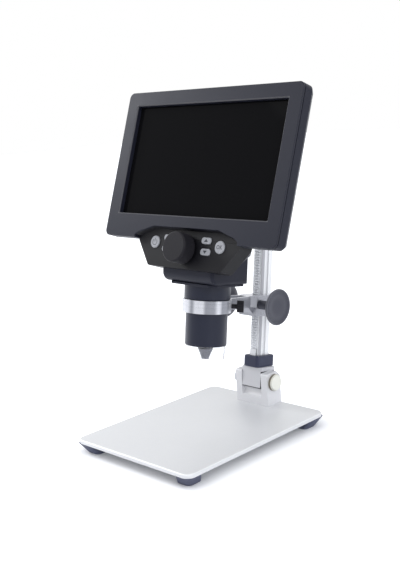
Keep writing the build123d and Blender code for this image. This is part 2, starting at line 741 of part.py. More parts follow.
def pad_screws():
    return Compound(children=[pad_screw(height) for height in pad_screw_heights()])


def pinion_shaft():
    """The shaft with its gear, turned so that one tooth points back at the rack."""
    gear = extrude(gear_face(GEAR_MODULE, PINION_TEETH), PINION_WIDTH / 2, both=True)
    gear = Rot(90, 0, 0) * Rot(0, 90, 0) * gear
    shaft = axle(SHAFT_RADIUS, -KNOB_SHAFT_END, KNOB_SHAFT_END)
    return Pos(0, pinion_y, pinion_height) * (shaft + gear)


def height_knob():
    """The right knob: a hub on the shaft and a thin disc, domed behind and dished in front."""
    hub_start, back = BLOCK_HALF_WIDTH + SEAT_GAP, KNOB_OUTER - KNOB_THICKNESS
    dome = [(r * KNOB_RADIUS, KNOB_OUTER - d * KNOB_THICKNESS) for r, d in KNOB_PROFILE]
    rim = dome[-1][0] - KNOB_RIM
    body = spin_x([
        (0, hub_start), (KNOB_HUB_RADIUS, hub_start), (KNOB_HUB_RADIUS, back), *dome,
        (rim, KNOB_OUTER), (rim - KNOB_RIM, KNOB_OUTER - KNOB_DISH / 2),
        (KNOB_RADIUS / 3, KNOB_OUTER - KNOB_DISH), (0, KNOB_OUTER - KNOB_DISH),
    ])
    body -= axle(SHAFT_RADIUS, hub_start, KNOB_SHAFT_END)
    return Pos(0, pinion_y, pinion_height) * body


def clamp_reach():
    """Where the clamp's knob starts and where its screw ends, out from the barrel's axis."""
    start = ring_radius + CLAMP_KNOB_GAP
    return start, start + CLAMP_KNOB_LENGTH - CLAMP_KNOB_FLOOR


def clamp_screw():
    tip = BARREL_RADIUS + SEAT_GAP + RUNNING
    return clamp_axis() * axle(CLAMP_RADIUS, tip, clamp_reach()[1])


def clamp_knob():
    start, screw_end = clamp_reach()
    grip = Circle(CLAMP_KNOB_RADIUS)
    for place in PolarLocations(CLAMP_KNOB_RADIUS + CLAMP_FLUTE_RADIUS / 2, CLAMP_FLUTES):
        grip -= place * Circle(CLAMP_FLUTE_RADIUS)
    knob = Pos(start, 0, 0) * Rot(0, 90, 0) * extrude(grip, CLAMP_KNOB_LENGTH)
    return clamp_axis() * (knob - axle(CLAMP_RADIUS, start, screw_end))


# ---------------------------------------------------------------- display head


def sheet_outline(inset, depth):
    """The head's rounded rectangle, brought in by an inset, at a depth behind the face."""
    size = bezel_width - 2 * inset, bezel_height - 2 * inset
    corner = max(BEZEL_CORNER - inset, 0.5)
    return Pos(0, bezel_middle, -depth) * RectangleRounded(*size, corner)


def window_outline(grow, depth):
    """The window's rounded rectangle, grown on every side, at a depth behind the face."""
    size = WINDOW_WIDTH + 2 * grow, WINDOW_HEIGHT + 2 * grow
    return Pos(0, 0, -depth) * RectangleRounded(*size, WINDOW_CORNER + grow)


def from_edge(place):
    """A chin place, given from the bezel's lower edge, about the window's middle."""
    return place[0], place[1] - bezel_below


def chin_face(inset, top):
    """The chin's outline, brought in by an inset, from a height downwards."""
    fall, side = CHIN_SHOULDER - CHIN_BOTTOM, CHIN_HALF_WIDTH - CHIN_FOOT_HALF_WIDTH
    slope = sqrt(side**2 + fall**2)
    shoulder_drop = inset * (slope - fall) / side
    foot_step = inset * (slope - side) / fall
    face = make_face(Polyline(*both_sides([
        (CHIN_HALF_WIDTH - inset, top - bezel_below),
        from_edge((CHIN_HALF_WIDTH - inset, CHIN_SHOULDER - shoulder_drop)),
        from_edge((CHIN_FOOT_HALF_WIDTH - foot_step, CHIN_BOTTOM + inset)),
    ]), close=True))
    low = face.vertices().group_by(Axis.Y)
    return fillet([*low[0], *low[1]], max(CHIN_CORNER - inset, 0.5))


def recess_face(grow=0):
    """Outline of the recess that the chin sits in, open past the bezel's lower edge."""
    side, _ = RECESS_OUTLINE[0]
    corners_right = [(side, -4 * SHELL), *RECESS_OUTLINE]
    mouth = make_face(Polyline(*both_sides([from_edge(p) for p in corners_right]), close=True))
    return offset(mouth, grow, kind=Kind.INTERSECTION) if grow else mouth


def recess_cut():
    floor = Pos(0, 0, -CHIN_DEPTH) * recess_face(-RECESS_SLOPE)
    return loft([recess_face(), floor], ruled=True)


def recess_shell():
    """The walls behind the recess, down to the rear cover's lower wall."""
    shell = extrude(Pos(0, 0, -chin_floor_back) * recess_face(SHELL), chin_floor_back - BEZEL_EDGE)
    low = SHELL + LIP_GAP - bezel_below
    return shell & block((-bezel_width, bezel_width), (low, 0), (-chin_floor_back, 0))


def key_places():
    """Every button's name, place and whether it is round."""
    round_x, round_y = from_edge(ROUND_KEY_PLACE)
    upper_x, upper_y = from_edge(UPPER_KEY_PLACE)
    lower_x, lower_y = from_edge(LOWER_KEY_PLACE)
    return {
        "power_button": ((-round_x, round_y), True), "ok_button": ((round_x, round_y), True),
        "menu_button": ((-upper_x, upper_y), False), "mode_button": ((-lower_x, lower_y), False),
        "up_button": ((upper_x, upper_y), False), "down_button": ((lower_x, lower_y), False),
    }


def key_face(is_round, grow):
    if is_round:
        return Circle(ROUND_KEY_RADIUS + grow)
    width, height = SLOT_KEY_SIZE
    return RectangleRounded(width + 2 * grow, height + 2 * grow, SLOT_KEY_CORNER + grow)


def button(place, is_round):
    """A cap through the chin's plate, a flange behind it and a stem over the switch."""
    front = KEY_PROUD - CHIN_DEPTH
    flange = -(chin_floor_back + SEAT_GAP)
    back = flange - KEY_FLANGE
    cap = extrude(Pos(0, 0, flange) * key_face(is_round, 0), front - flange)
    cap = chamfer(cap.faces().sort_by(Axis.Z)[-1].edges(), KEY_EDGE)
    cap += extrude(Pos(0, 0, back) * key_face(is_round, KEY_FLANGE_GROW), KEY_FLANGE)
    cap += post(KEY_STEM_RADIUS, back - KEY_STEM_LENGTH, back)
    return Pos(*place, 0) * cap


def key_post_places():
    """Posts that carry the key board."""
    return [(side * x, y) for x, y in map(from_edge, KEY_POSTS) for side in (-1, 1)]


def case_screw_places():
    side, top, foot_inset = CASE_SCREW_INSETS
    x = bezel_width / 2 - side
    return [(sign * x, y) for y in (bezel_above - top, foot_inset - bezel_below) for sign in (-1, 1)]


def case_screw_joint():
    """Depth at which the front and rear screw bosses meet."""
    return MAIN_BOARD_DEPTH - SKIRT_DEPTH


def front_bezel():
    skirt_in = SHELL + LIP_GAP
    body = extrude(sheet_outline(0, BEZEL_EDGE), BEZEL_EDGE)
    body = chamfer(body.faces().sort_by(Axis.Z)[-1].edges(), BEZEL_BEVEL)
    skirt = sheet_outline(skirt_in, SKIRT_DEPTH) - sheet_outline(skirt_in + SKIRT_WALL, SKIRT_DEPTH)
    body += extrude(skirt, SKIRT_DEPTH - BEZEL_EDGE)
    body += extrude(window_outline(RIM_WALL, GLASS_DEPTH), GLASS_DEPTH - BEZEL_EDGE)
    body += recess_shell() + chin_shell()
    body -= recess_cut()
    body -= loft([window_outline(0, WINDOW_CHAMFER), window_outline(WINDOW_CHAMFER, 0)], ruled=True)
    body -= extrude(window_outline(0, GLASS_DEPTH), GLASS_DEPTH)
    for place in case_screw_places():
        body += post(CASE_BOSS_RADIUS, -case_screw_joint(), -BEZEL_EDGE, place)
        body -= post(CASE_SCREW_RADIUS, -case_screw_joint(), -BEZEL_EDGE - CASE_SCREW_SKIN, place)
    body += focus_boss()
    body -= post(FOCUS_SHAFT_RADIUS + RUNNING, -FOCUS_TUBE_DEPTH, 0, (0, -focus_below))
    for place, is_round in key_places().values():
        body -= extrude(Pos(*place, -chin_floor_back) * key_face(is_round, KEY_GAP), CHIN_PLATE)
    return body - socket_cuts()


def chin_shell():
    """The chin's front plate and its side walls, open towards the head and the back."""
    back = Pos(0, 0, -CHIN_SIDE_DEPTH)
    outer = extrude(back * chin_face(0, SHELL), CHIN_SIDE_DEPTH - CHIN_DEPTH)
    outer -= extrude(back * chin_face(SHELL, 2 * SHELL), CHIN_SIDE_DEPTH - chin_floor_back)
    for place in key_post_places():
        outer += post(KEY_POST_RADIUS, -KEY_BOARD_DEPTH, -CHIN_DEPTH - CHIN_PLATE / 2, place)
    return outer


def focus_boss():
    at, middle = (0, -focus_below), -CHIN_DEPTH - CHIN_PLATE / 2
    boss = post(FOCUS_BOSS_RADIUS, middle, FOCUS_BOSS_HEIGHT - CHIN_DEPTH, at)
    return boss + post(FOCUS_TUBE_RADIUS, -FOCUS_TUBE_DEPTH, middle, at)


def head_form(inset):
    """The rear housing as a solid form, brought in by an inset on every outer side."""
    start = BEZEL_EDGE + PARTING_GROOVE
    form = extrude(sheet_outline(inset, SIDE_WALL_DEPTH), SIDE_WALL_DEPTH - start)
    form += loft([
        sheet_outline(inset, SIDE_WALL_DEPTH), sheet_outline(inset + TRAY_TAPER, TRAY_DEPTH - inset),
    ], ruled=True)
    top = bezel_height - BACK_DROP - inset
    raised = Pos(0, 0, -CHIN_SIDE_DEPTH) * chin_face(inset, top)
    back = Pos(0, 0, inset - BACK_DEPTH) * chin_face(inset + BACK_TAPER, top - BACK_TAPER)
    form += extrude(raised, CHIN_SIDE_DEPTH - SIDE_WALL_DEPTH)
    return form + loft([raised, back], ruled=True)


def chin_room():
    """The room in front of the rear cover that the front's chin takes."""
    room = Pos(0, 0, -CHIN_SIDE_DEPTH) * chin_face(-LIP_GAP, SHELL + LIP_GAP)
    side, low = CHIN_HALF_WIDTH + SHELL, CHIN_BOTTOM - SHELL - bezel_below
    below = block((-side, side), (low, -bezel_below), (-CHIN_SIDE_DEPTH, 0))
    return extrude(room, CHIN_SIDE_DEPTH) + below


def rear_cover():
    body = head_form(0) - head_form(SHELL) - chin_room()
    joint = case_screw_joint() + SEAT_GAP
    for place in case_screw_places():
        body += post(CASE_REAR_BOSS_RADIUS, -TRAY_DEPTH + SHELL, -joint, place)
        body -= post(CASE_SCREW_RADIUS + RUNNING, -TRAY_DEPTH, -joint, place)
        body -= post(CASE_SCREW_HEAD + KEY_GAP, -TRAY_DEPTH, -TRAY_DEPTH + CASE_SCREW_RECESS, place)
    board_back = -MAIN_BOARD_DEPTH - BOARD_THICKNESS
    for place in board_post_places():
        body += post(BOARD_POST_RADIUS, -BACK_DEPTH + SHELL / 2, board_back, place)
    return body - socket_cuts() - camera_passage()


def camera_passage():
    """The opening by which the lens rack, the focus gear and the sensor board pass."""
    half = sensor_board_half + SHELL
    span = (focus_rack_y - FOCUS_RACK_DEPTH / 2 - 2 * SHELL, housing_back - SHELL)
    box = block((-half, half), span, (HOUSING_BOTTOM, housing_top - SHELL))
    return screen_in_stand.inverse() * box


def board_post_places():
    x = MAIN_BOARD_HALF_WIDTH - BOARD_POST_INSET
    low, high = MAIN_BOARD_SPAN
    heights = low + BOARD_POST_INSET, high - BOARD_POST_INSET
    return [(side * x, y) for side in (-1, 1) for y in heights]


def case_screws():
    screws = []
    seat, tip = CASE_SCREW_RECESS - TRAY_DEPTH, -BEZEL_EDGE - 2 * CASE_SCREW_SKIN
    for place in case_screw_places():
        shank = post(CASE_SCREW_RADIUS, seat, tip, place)
        screws.append(shank + post(CASE_SCREW_HEAD, seat - CASE_SCREW_HEAD_HEIGHT, seat, place))
    return Compound(children=screws)


def display_glass():
    return extrude(window_outline(GLASS_OVERLAP, GLASS_DEPTH + GLASS_THICKNESS), GLASS_THICKNESS)


def lcd_panel():
    front = -(GLASS_DEPTH + GLASS_THICKNESS)
    x, y = WINDOW_WIDTH / 2 + PANEL_SIDE, WINDOW_HEIGHT / 2 + PANEL_END
    return block((-x, x), (-y, y), (front - PANEL_THICKNESS, front))


def main_board():
    half, back = MAIN_BOARD_HALF_WIDTH, -MAIN_BOARD_DEPTH - BOARD_THICKNESS
    return block((-half, half), MAIN_BOARD_SPAN, (back, -MAIN_BOARD_DEPTH))


def battery():
    width, height, thickness = BATTERY_SIZE
    middle = sum(MAIN_BOARD_SPAN) / 2
    back = -MAIN_BOARD_DEPTH - BOARD_THICKNESS - thickness
    outline = RectangleRounded(width, height, BATTERY_CORNER)
    return extrude(Pos(0, middle, back) * outline, thickness)


def key_board():
    half, back = KEY_BOARD_HALF_WIDTH, -KEY_BOARD_DEPTH - KEY_BOARD_THICKNESS
    low, high = KEY_BOARD_SPAN
    span = (low - bezel_below, high - bezel_below)
    board = block((-half, half), span, (back, -KEY_BOARD_DEPTH))
    return board - post(FOCUS_TUBE_RADIUS + SEAT_GAP, back, -KEY_BOARD_DEPTH, (0, -focus_below))


def key_switches():
    """A low square switch under each button, its plunger just clear of the pressed stem."""
    switches = []
    board = -KEY_BOARD_DEPTH
    pressed = chin_floor_back + SEAT_GAP + KEY_FLANGE + KEY_STEM_LENGTH + KEY_TRAVEL
    for place, _ in key_places().values():
        case = Pos(*place, board + SWITCH_HEIGHT / 2) * Box(SWITCH_SIZE, SWITCH_SIZE, SWITCH_HEIGHT)
        plunger = post(SWITCH_PLUNGER_RADIUS, board, -pressed - SWITCH_CLEARANCE, place)
        switches.append(case + plunger)
    return Compound(children=switches)


def io_board():
    outer = -(bezel_width / 2 - SHELL - LIP_GAP - SKIRT_WALL - SEAT_GAP)
    back = -IO_BOARD_DEPTH - IO_BOARD_THICKNESS
    return block((outer, outer + IO_BOARD_WIDTH), IO_BOARD_SPAN, (back, -IO_BOARD_DEPTH))


def socket_box(place, size, grow):
    """Room of a socket that opens through the left side wall, in front of its board."""
    mouth = -bezel_width / 2 + SOCKET_SETBACK
    width, height = size
    outer = mouth if grow <= 0 else mouth - SHELL
    inner = mouth + SOCKET_LENGTH + min(grow, 0)
    low, high = -IO_BOARD_DEPTH - min(grow, 0), -IO_BOARD_DEPTH + height + grow
    span = (place - width / 2 - grow, place + width / 2 + grow)
    return block((outer, inner), span, (low, high))


def socket_cuts():
    return socket_box(USB_PLACE, USB_SIZE, LIP_GAP) + socket_box(CARD_PLACE, CARD_SIZE, LIP_GAP)


def socket(place, size):
    """A folded metal shell, closed at its inner end."""
    return socket_box(place, size, 0) - socket_box(place, size, -SOCKET_WALL)


# ---------------------------------------------------------------- camera and barrel


def camera_housing():
    half, low, high = housing_half, HOUSING_BOTTOM, housing_top
    body = block((-half, half), (housing_front, housing_back), (low, high))
    body = fillet(lower_front_edge(body), HOUSING_FRONT_ROUND)
    body = chamfer(upper_back_edge(body), HOUSING_BACK_CHAMFER)
    body = fillet(body.edges().filter_by(Axis.Z), HOUSING_CORNER)
    hollow = block(
        (SHELL - half, half - SHELL), (housing_front + SHELL, housing_back - SHELL),
        (low + SHELL, high - SHELL),
    )
    hollow = fillet(lower_front_edge(hollow), HOUSING_FRONT_ROUND - SHELL)
    body -= chamfer(upper_back_edge(hollow), HOUSING_BACK_CHAMFER - (2 - sqrt(2)) * SHELL)
    body -= post(barrel_bore, low, low + SHELL, (0, barrel_y))
    x, y = SENSOR_POST_PLACE
    for side in (-x, x):
        body += post(SENSOR_POST_RADIUS, sensor_board_top, high - SHELL, (side, barrel_y + y))
    display_outline = Pos(0, 0, -CHIN_SIDE_DEPTH) * chin_face(0, bezel_height - BACK_DROP)
    display = extrude(display_outline, CHIN_SIDE_DEPTH)
    return body - screen_in_stand * (head_form(0) + display)


def lower_front_edge(body):
    return body.faces().sort_by(Axis.Z)[0].edges().filter_by(Axis.X).sort_by(Axis.Y)[0]


def upper_back_edge(body):
    return body.faces().sort_by(Axis.Z)[-1].edges().filter_by(Axis.X).sort_by(Axis.Y)[-1]


def barrel_flange():
    low, half = HOUSING_BOTTOM - FLANGE_PLATE, housing_half - FLANGE_INSET
    front, back = housing_front + FLANGE_FRONT_INSET, housing_back - FLANGE_INSET
    plan = both_sides([(half - FLANGE_NOSE, front), (half, front + FLANGE_NOSE), (half, back)])
    plate = prism_z(plan, low, HOUSING_BOTTOM)
    return plate - post(BARREL_RADIUS, low, HOUSING_BOTTOM, (0, barrel_y))


def barrel():
    tube = spin_z([
        (barrel_bore, HOUSING_BOTTOM), (BARREL_RADIUS, HOUSING_BOTTOM),
        (BARREL_RADIUS, BARREL_BOTTOM + BARREL_BEVEL), (BARREL_RADIUS - BARREL_BEVEL, BARREL_BOTTOM),
        (barrel_mouth, BARREL_BOTTOM), (barrel_mouth, led_board_top), (barrel_bore, led_board_top),
    ])
    return Pos(0, barrel_y, 0) * tube


def barrel_collar():
    low, high = ARM_TOP + SEAT_GAP, HOUSING_BOTTOM - FLANGE_PLATE
    at = (0, barrel_y)
    return post(BARREL_RADIUS + SHOULDER, low, high, at) - post(BARREL_RADIUS, low, high, at)


def hood():
    top, spigot = BARREL_BOTTOM, barrel_mouth - RUNNING
    rim = BARREL_RADIUS - HOOD_STEP - HOOD_TAPER
    shade = spin_z([
        (rim, HOOD_BOTTOM), (BARREL_RADIUS - HOOD_STEP, top), (spigot, top),
        (spigot, led_board_bottom), (spigot - HOOD_WALL, led_board_bottom),
        (spigot - HOOD_WALL, top - HOOD_WALL), (rim - HOOD_WALL, HOOD_BOTTOM),
    ])
    return Pos(0, barrel_y, 0) * shade


def led_board():
    at, spigot = (0, barrel_y), barrel_mouth - RUNNING
    board = post(spigot, led_board_bottom, led_board_top, at)
    return board - post(LED_BOARD_HOLE, led_board_bottom, led_board_top, at)


def leds():
    ring = Pos(0, barrel_y, led_board_bottom - LED_HEIGHT / 2)
    places = PolarLocations(BARREL_RADIUS - LED_INSET, LED_COUNT)
    return Compound(children=[ring * place * Box(LED_SIZE, LED_SIZE, LED_HEIGHT) for place in places])


def sensor_board():
    half, low = SENSOR_BOARD / 2, sensor_board_top - SENSOR_BOARD_THICKNESS
    width, depth = (-sensor_board_half, sensor_board_half), (barrel_y - half, barrel_y + half)
    return block(width, depth, (low, sensor_board_top))


def image_sensor():
    half, top = SENSOR_SIZE / 2, sensor_board_top - SENSOR_BOARD_THICKNESS
    return block((-half, half), (barrel_y - half, barrel_y + half), (top - SENSOR_HEIGHT, top))


def lens_carriage():
    floor_top = CARRIAGE_BOTTOM + CARRIAGE_FLOOR
    tube = spin_z([
        (SNOUT_BORE, CONE_TOP), (SNOUT_RADIUS, CONE_TOP), (SNOUT_RADIUS, CARRIAGE_BOTTOM),
        (carriage_radius, CARRIAGE_BOTTOM), (carriage_radius, carriage_top),
        (carriage_bore, carriage_top), (carriage_bore, floor_top), (SNOUT_BORE, floor_top),
    ])
    return Pos(0, barrel_y, 0) * tube + focus_rack()


def focus_rack():
    """The bar on the carriage, with teeth cut square to the focus shaft."""
    root, spare = focus_pitch + TOOTH_ROOT * FOCUS_MODULE, FOCUS_RACK_SPARE
    inside = root + FOCUS_RACK_THICKNESS / 4
    contact = (screen_in_stand * Pos(0, -focus_below, -focus_gear_depth)).position.Z
    low_tooth, top = contact - LENS_TRAVEL - spare, contact + spare
    depth = (focus_rack_y - FOCUS_RACK_DEPTH / 2, focus_rack_y + FOCUS_RACK_DEPTH / 2)
    bar = block((root, root + FOCUS_RACK_THICKNESS), depth, (carriage_top, top))
    window = block((0, inside), depth, (low_tooth, top))
    reach = (LENS_TRAVEL + 2 * spare) / cos(radians(SCREEN_LEAN))
    teeth = rack_outline(FOCUS_MODULE, -focus_below, -focus_below - reach, -focus_below + reach)
    points = [(focus_pitch - out, along) for along, out in teeth]
    points = [(inside, teeth[0][0]), *points, (inside, teeth[-1][0])]
    face = Pos(0, 0, -focus_gear_depth) * make_face(Polyline(*points, close=True))
    comb = screen_in_stand * extrude(face, 2 * FOCUS_GEAR_WIDTH, both=True)
    return bar + (comb & window)


def lens_cone():
    lip = CONE_BOTTOM + CONE_LIP
    cone = spin_z([
        (CONE_BORE, CONE_BOTTOM), (CONE_TIP_RADIUS, CONE_BOTTOM), (CONE_TIP_RADIUS, lip),
        (SNOUT_RADIUS, CONE_TOP), (FRONT_LENS_RADIUS, CONE_TOP), (FRONT_LENS_RADIUS, lip),
        (CONE_BORE, lip),
    ])
    return Pos(0, barrel_y, 0) * cone


def front_lens():
    low = CONE_BOTTOM + CONE_LIP
    return post(FRONT_LENS_RADIUS, low, low + FRONT_LENS_THICKNESS, (0, barrel_y))


def field_lens():
    low = CARRIAGE_BOTTOM + CARRIAGE_FLOOR
    radius = carriage_bore - FIELD_LENS_MARGIN
    return post(radius, low, low + FIELD_LENS_THICKNESS, (0, barrel_y))


def focus_shaft():
    at, front = (0, -focus_below), FOCUS_KNOB_FRONT / 3
    gear_end = -(focus_gear_depth + FOCUS_GEAR_WIDTH / 2)
    gear = extrude(Pos(*at, gear_end) * gear_face(FOCUS_MODULE, FOCUS_TEETH), FOCUS_GEAR_WIDTH)
    return post(FOCUS_SHAFT_RADIUS, gear_end, front, at) + gear


def focus_knob():
    back = FOCUS_BOSS_HEIGHT - CHIN_DEPTH + SEAT_GAP
    radius, front, edge = FOCUS_KNOB_RADIUS, FOCUS_KNOB_FRONT, FOCUS_KNOB_EDGE
    body = spin_z([
        (0, back), (radius - edge, back), (radius, back + edge), (radius, front - edge),
        (radius - edge, front), (0, front),
    ])
    body -= post(FOCUS_SHAFT_RADIUS, back, front / 3)
    return Pos(0, -focus_below, 0) * body


# ---------------------------------------------------------------- the whole object


def build_base():
    keep("base_plate", base_plate(), plate_frame)
    for y_name, y_side in (("front", -1), ("rear", 1)):
        for x_name, x_side in (("left", -1), ("right", 1)):
            keep(f"foot_{y_name}_{x_name}", foot(x_side, y_side), plate_frame)
    keep("foot_screws", foot_screws(), plate_frame)
    keep("hinge_bracket", hinge_bracket(), hinge_frame)
    keep("bracket_screws", bracket_screws(), plate_frame)
    keep("hinge_bolt", hinge_bolt(), hinge_frame)
    keep("hinge_washer", hinge_washer(), hinge_frame)
    keep("hinge_nut", hinge_nut(), hinge_frame)


def build_stand():
    keep("pivot_block", pivot_block(), stand_frame)
    keep("pole_collar", pole_collar(), stand_frame)
    keep("pole", pole(), stand_frame)
    keep("pole_cap", pole_cap(), stand_frame)
    keep("rack", rack(), stand_frame)


def build_slider():
    keep("slider_arm", slider_arm(), stand_frame)
    keep("pinion_bush", pinion_bush(), stand_frame)
    keep("slide_pad", slide_pad(), stand_frame)
    keep("pad_screws", pad_screws(), stand_frame)
    keep("pinion_shaft", pinion_shaft(), stand_frame)
    keep("height_knob_right", height_knob(), stand_frame)
    keep("height_knob_left", mirror(height_knob(), Plane.YZ), stand_frame)
    keep("clamp_screw", clamp_screw(), stand_frame)
    keep("clamp_knob", clamp_knob(), stand_frame)


def build_head():
    keep("front_bezel", front_bezel(), screen_frame)
    keep("rear_cover", rear_cover(), screen_frame)
    keep("display_glass", display_glass(), screen_frame)
    keep("lcd_panel", lcd_panel(), screen_frame)
    keep("main_board", main_board(), screen_frame)
    keep("battery", battery(), screen_frame)
    keep("key_board", key_board(), screen_frame)
    keep("key_switches", key_switches(), screen_frame)
    keep("io_board", io_board(), screen_frame)
    keep("usb_socket", socket(USB_PLACE, USB_SIZE), screen_frame)
    keep("card_socket", socket(CARD_PLACE, CARD_SIZE), screen_frame)
    keep("case_screws", case_screws(), screen_frame)
    for name, (place, is_round) in key_places().items():
        keep(name, button(place, is_round), screen_frame)


def build_camera():
    keep("camera_housing", camera_housing(), stand_frame)
    keep("barrel_flange", barrel_flange(), stand_frame)
    keep("barrel", barrel(), stand_frame)
    keep("barrel_collar", barrel_collar(), stand_frame)
    keep("hood", hood(), stand_frame)
    keep("led_board", led_board(), stand_frame)
    keep("leds", leds(), stand_frame)
    keep("sensor_board", sensor_board(), stand_frame)
    keep("image_sensor", image_sensor(), stand_frame)
    keep("lens_carriage", lens_carriage(), stand_frame)
    keep("lens_cone", lens_cone(), stand_frame)
    keep("front_lens", front_lens(), stand_frame)
    keep("field_lens", field_lens(), stand_frame)
    keep("focus_shaft", focus_shaft(), screen_frame)
    keep("focus_knob", focus_knob(), screen_frame)


build_base()
build_stand()
build_slider()
build_head()
build_camera()

os.makedirs("parts", exist_ok=True)
for node, shape in nodes.items():
    export_step(shape, f"parts/{node}.step")
print(len(nodes), "nodes")
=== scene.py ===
"""Finishes, fine parts and studio of a bench microscope with a display head.

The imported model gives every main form. This script dresses those forms in procedural
finishes, rounds their edges, and adds what is too fine for them: screws with driver
recesses, the rack's teeth, the lamps of the ring light, the marks on the keys, the tongue
and contacts of the sockets. Lengths are in metres in the model's own frame, or in
millimetres where a docstring says so.
"""

import json
import logging
from dataclasses import dataclass, field, fields
from enum import Enum
from math import atan2, cos, pi, radians, sin
from typing import Sequence

import bmesh
import bpy
from mathutils import Matrix, Vector

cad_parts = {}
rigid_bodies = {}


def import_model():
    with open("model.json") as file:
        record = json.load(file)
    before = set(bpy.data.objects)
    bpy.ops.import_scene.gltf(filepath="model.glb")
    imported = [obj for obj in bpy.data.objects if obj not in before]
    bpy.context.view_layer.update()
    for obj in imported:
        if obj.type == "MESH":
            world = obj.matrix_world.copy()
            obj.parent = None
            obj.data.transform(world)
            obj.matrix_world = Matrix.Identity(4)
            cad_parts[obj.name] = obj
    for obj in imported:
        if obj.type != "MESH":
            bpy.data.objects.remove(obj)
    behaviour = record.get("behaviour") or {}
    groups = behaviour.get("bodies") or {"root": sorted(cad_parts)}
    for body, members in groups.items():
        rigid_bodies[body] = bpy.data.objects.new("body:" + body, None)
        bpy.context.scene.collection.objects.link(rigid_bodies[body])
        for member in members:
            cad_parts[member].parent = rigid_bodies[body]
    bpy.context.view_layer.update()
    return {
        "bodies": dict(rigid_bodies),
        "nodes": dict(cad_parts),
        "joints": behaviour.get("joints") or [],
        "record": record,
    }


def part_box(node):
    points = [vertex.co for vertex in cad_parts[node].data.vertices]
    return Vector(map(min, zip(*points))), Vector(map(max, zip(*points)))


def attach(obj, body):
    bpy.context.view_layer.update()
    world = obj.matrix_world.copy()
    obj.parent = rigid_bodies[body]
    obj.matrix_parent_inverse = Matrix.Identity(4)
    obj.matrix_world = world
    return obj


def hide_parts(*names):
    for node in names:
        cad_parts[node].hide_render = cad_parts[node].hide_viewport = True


log = logging.getLogger("microscope")

MM = 0.001
X_AXIS = Vector((1.0, 0.0, 0.0))
SOFT_EDGE = 0.1 * MM  # width over which a mask fades
WINDOW_RISE = 68.3 * MM  # from the focus knob's axis up to the display window's middle

Pair = tuple[float, float]
Point = tuple[float, float, float]
Colour = tuple[float, float, float]
Outline = list[Pair]
Socket = bpy.types.NodeSocket
SocketPair = tuple[Socket, Socket]
Values = dict[str | int, object]  # values or sockets by the labels or numbers of inputs


def linear(*display: float) -> Colour:
    """Turn red, green and blue of 0 to 255 into the linear values that shaders use.

    Args:
        *display: The three values as a display shows them.

    Returns:
        The three values from 0 to 1.
    """
    shares = [value / 255.0 for value in display]
    return tuple(share / 12.92 if share <= 0.04045 else ((share + 0.055) / 1.055) ** 2.4
                 for share in shares)


def shade(colour: Colour, factor: float, lift: float = 0.0) -> Colour:
    """Multiply a colour and lift it, with each value held at 1."""
    return tuple(min(1.0, value * factor + lift) for value in colour)


def configured(thing: object, **settings: object) -> object:
    """Set properties of a node, a modifier, a lamp or a camera, and give it back.

    Args:
        thing: What they belong to.
        **settings: The values by the properties' names.

    Returns:
        The thing itself.
    """
    for name, value in settings.items():
        setattr(thing, name, value)
    return thing


# ---------------- local frames


@dataclass(frozen=True)
class Local:
    """A right-handed frame fixed to one assembly at rest, with its first axis along X.

    Attributes:
        origin: Where the frame sits.
        out: Its third axis.
    """

    origin: Vector
    out: Vector

    @property
    def matrix(self) -> Matrix:
        """The way from local places to the model's frame.

        Returns:
            The matrix.
        """
        across = self.out.cross(X_AXIS).normalized()
        turned = Matrix((X_AXIS, across, self.out.normalized())).transposed()
        return Matrix.Translation(self.origin) @ turned.to_4x4()

    @property
    def tip(self) -> float:
        """Angle about X that lays the frame's third axis along Z."""
        return atan2(self.out.y, self.out.z)


@dataclass(frozen=True)
class Layout:
    """The local frames of the assemblies, read from the model's joints.

    Attributes:
        stand: On the tilt hinge, with its third axis along the pole.
        screen: On the focus knob, with its third axis out of the display.
        barrel: A place on the barrel's axis.
    """

    stand: Local
    screen: Local
    barrel: Vector

    @classmethod
    def read(cls, joints: Sequence[dict]) -> "Layout":
        """Work the frames out from the joints.

        Args:
            joints: The model's joints, each with its place and axis.

        Returns:
            The layout of the assemblies at rest.
        """
        by_name = {joint["name"]: joint for joint in joints}
        hinge, focus, swivel = [
            Vector(by_name[name]["pos_m"]) for name in ("stand_tilt", "focus_turn", "head_swivel")]
        along, out = [Vector(by_name[name]["axis"]) for name in ("height_slide", "focus_turn")]
        return cls(Local(hinge, along), Local(focus, out), swivel)

    @property
    def window(self) -> Matrix:
        """Matrix of the frame in the middle of the display window."""
        return self.screen.matrix @ Matrix.Translation((0.0, WINDOW_RISE, 0.0))


# ---------------- node building


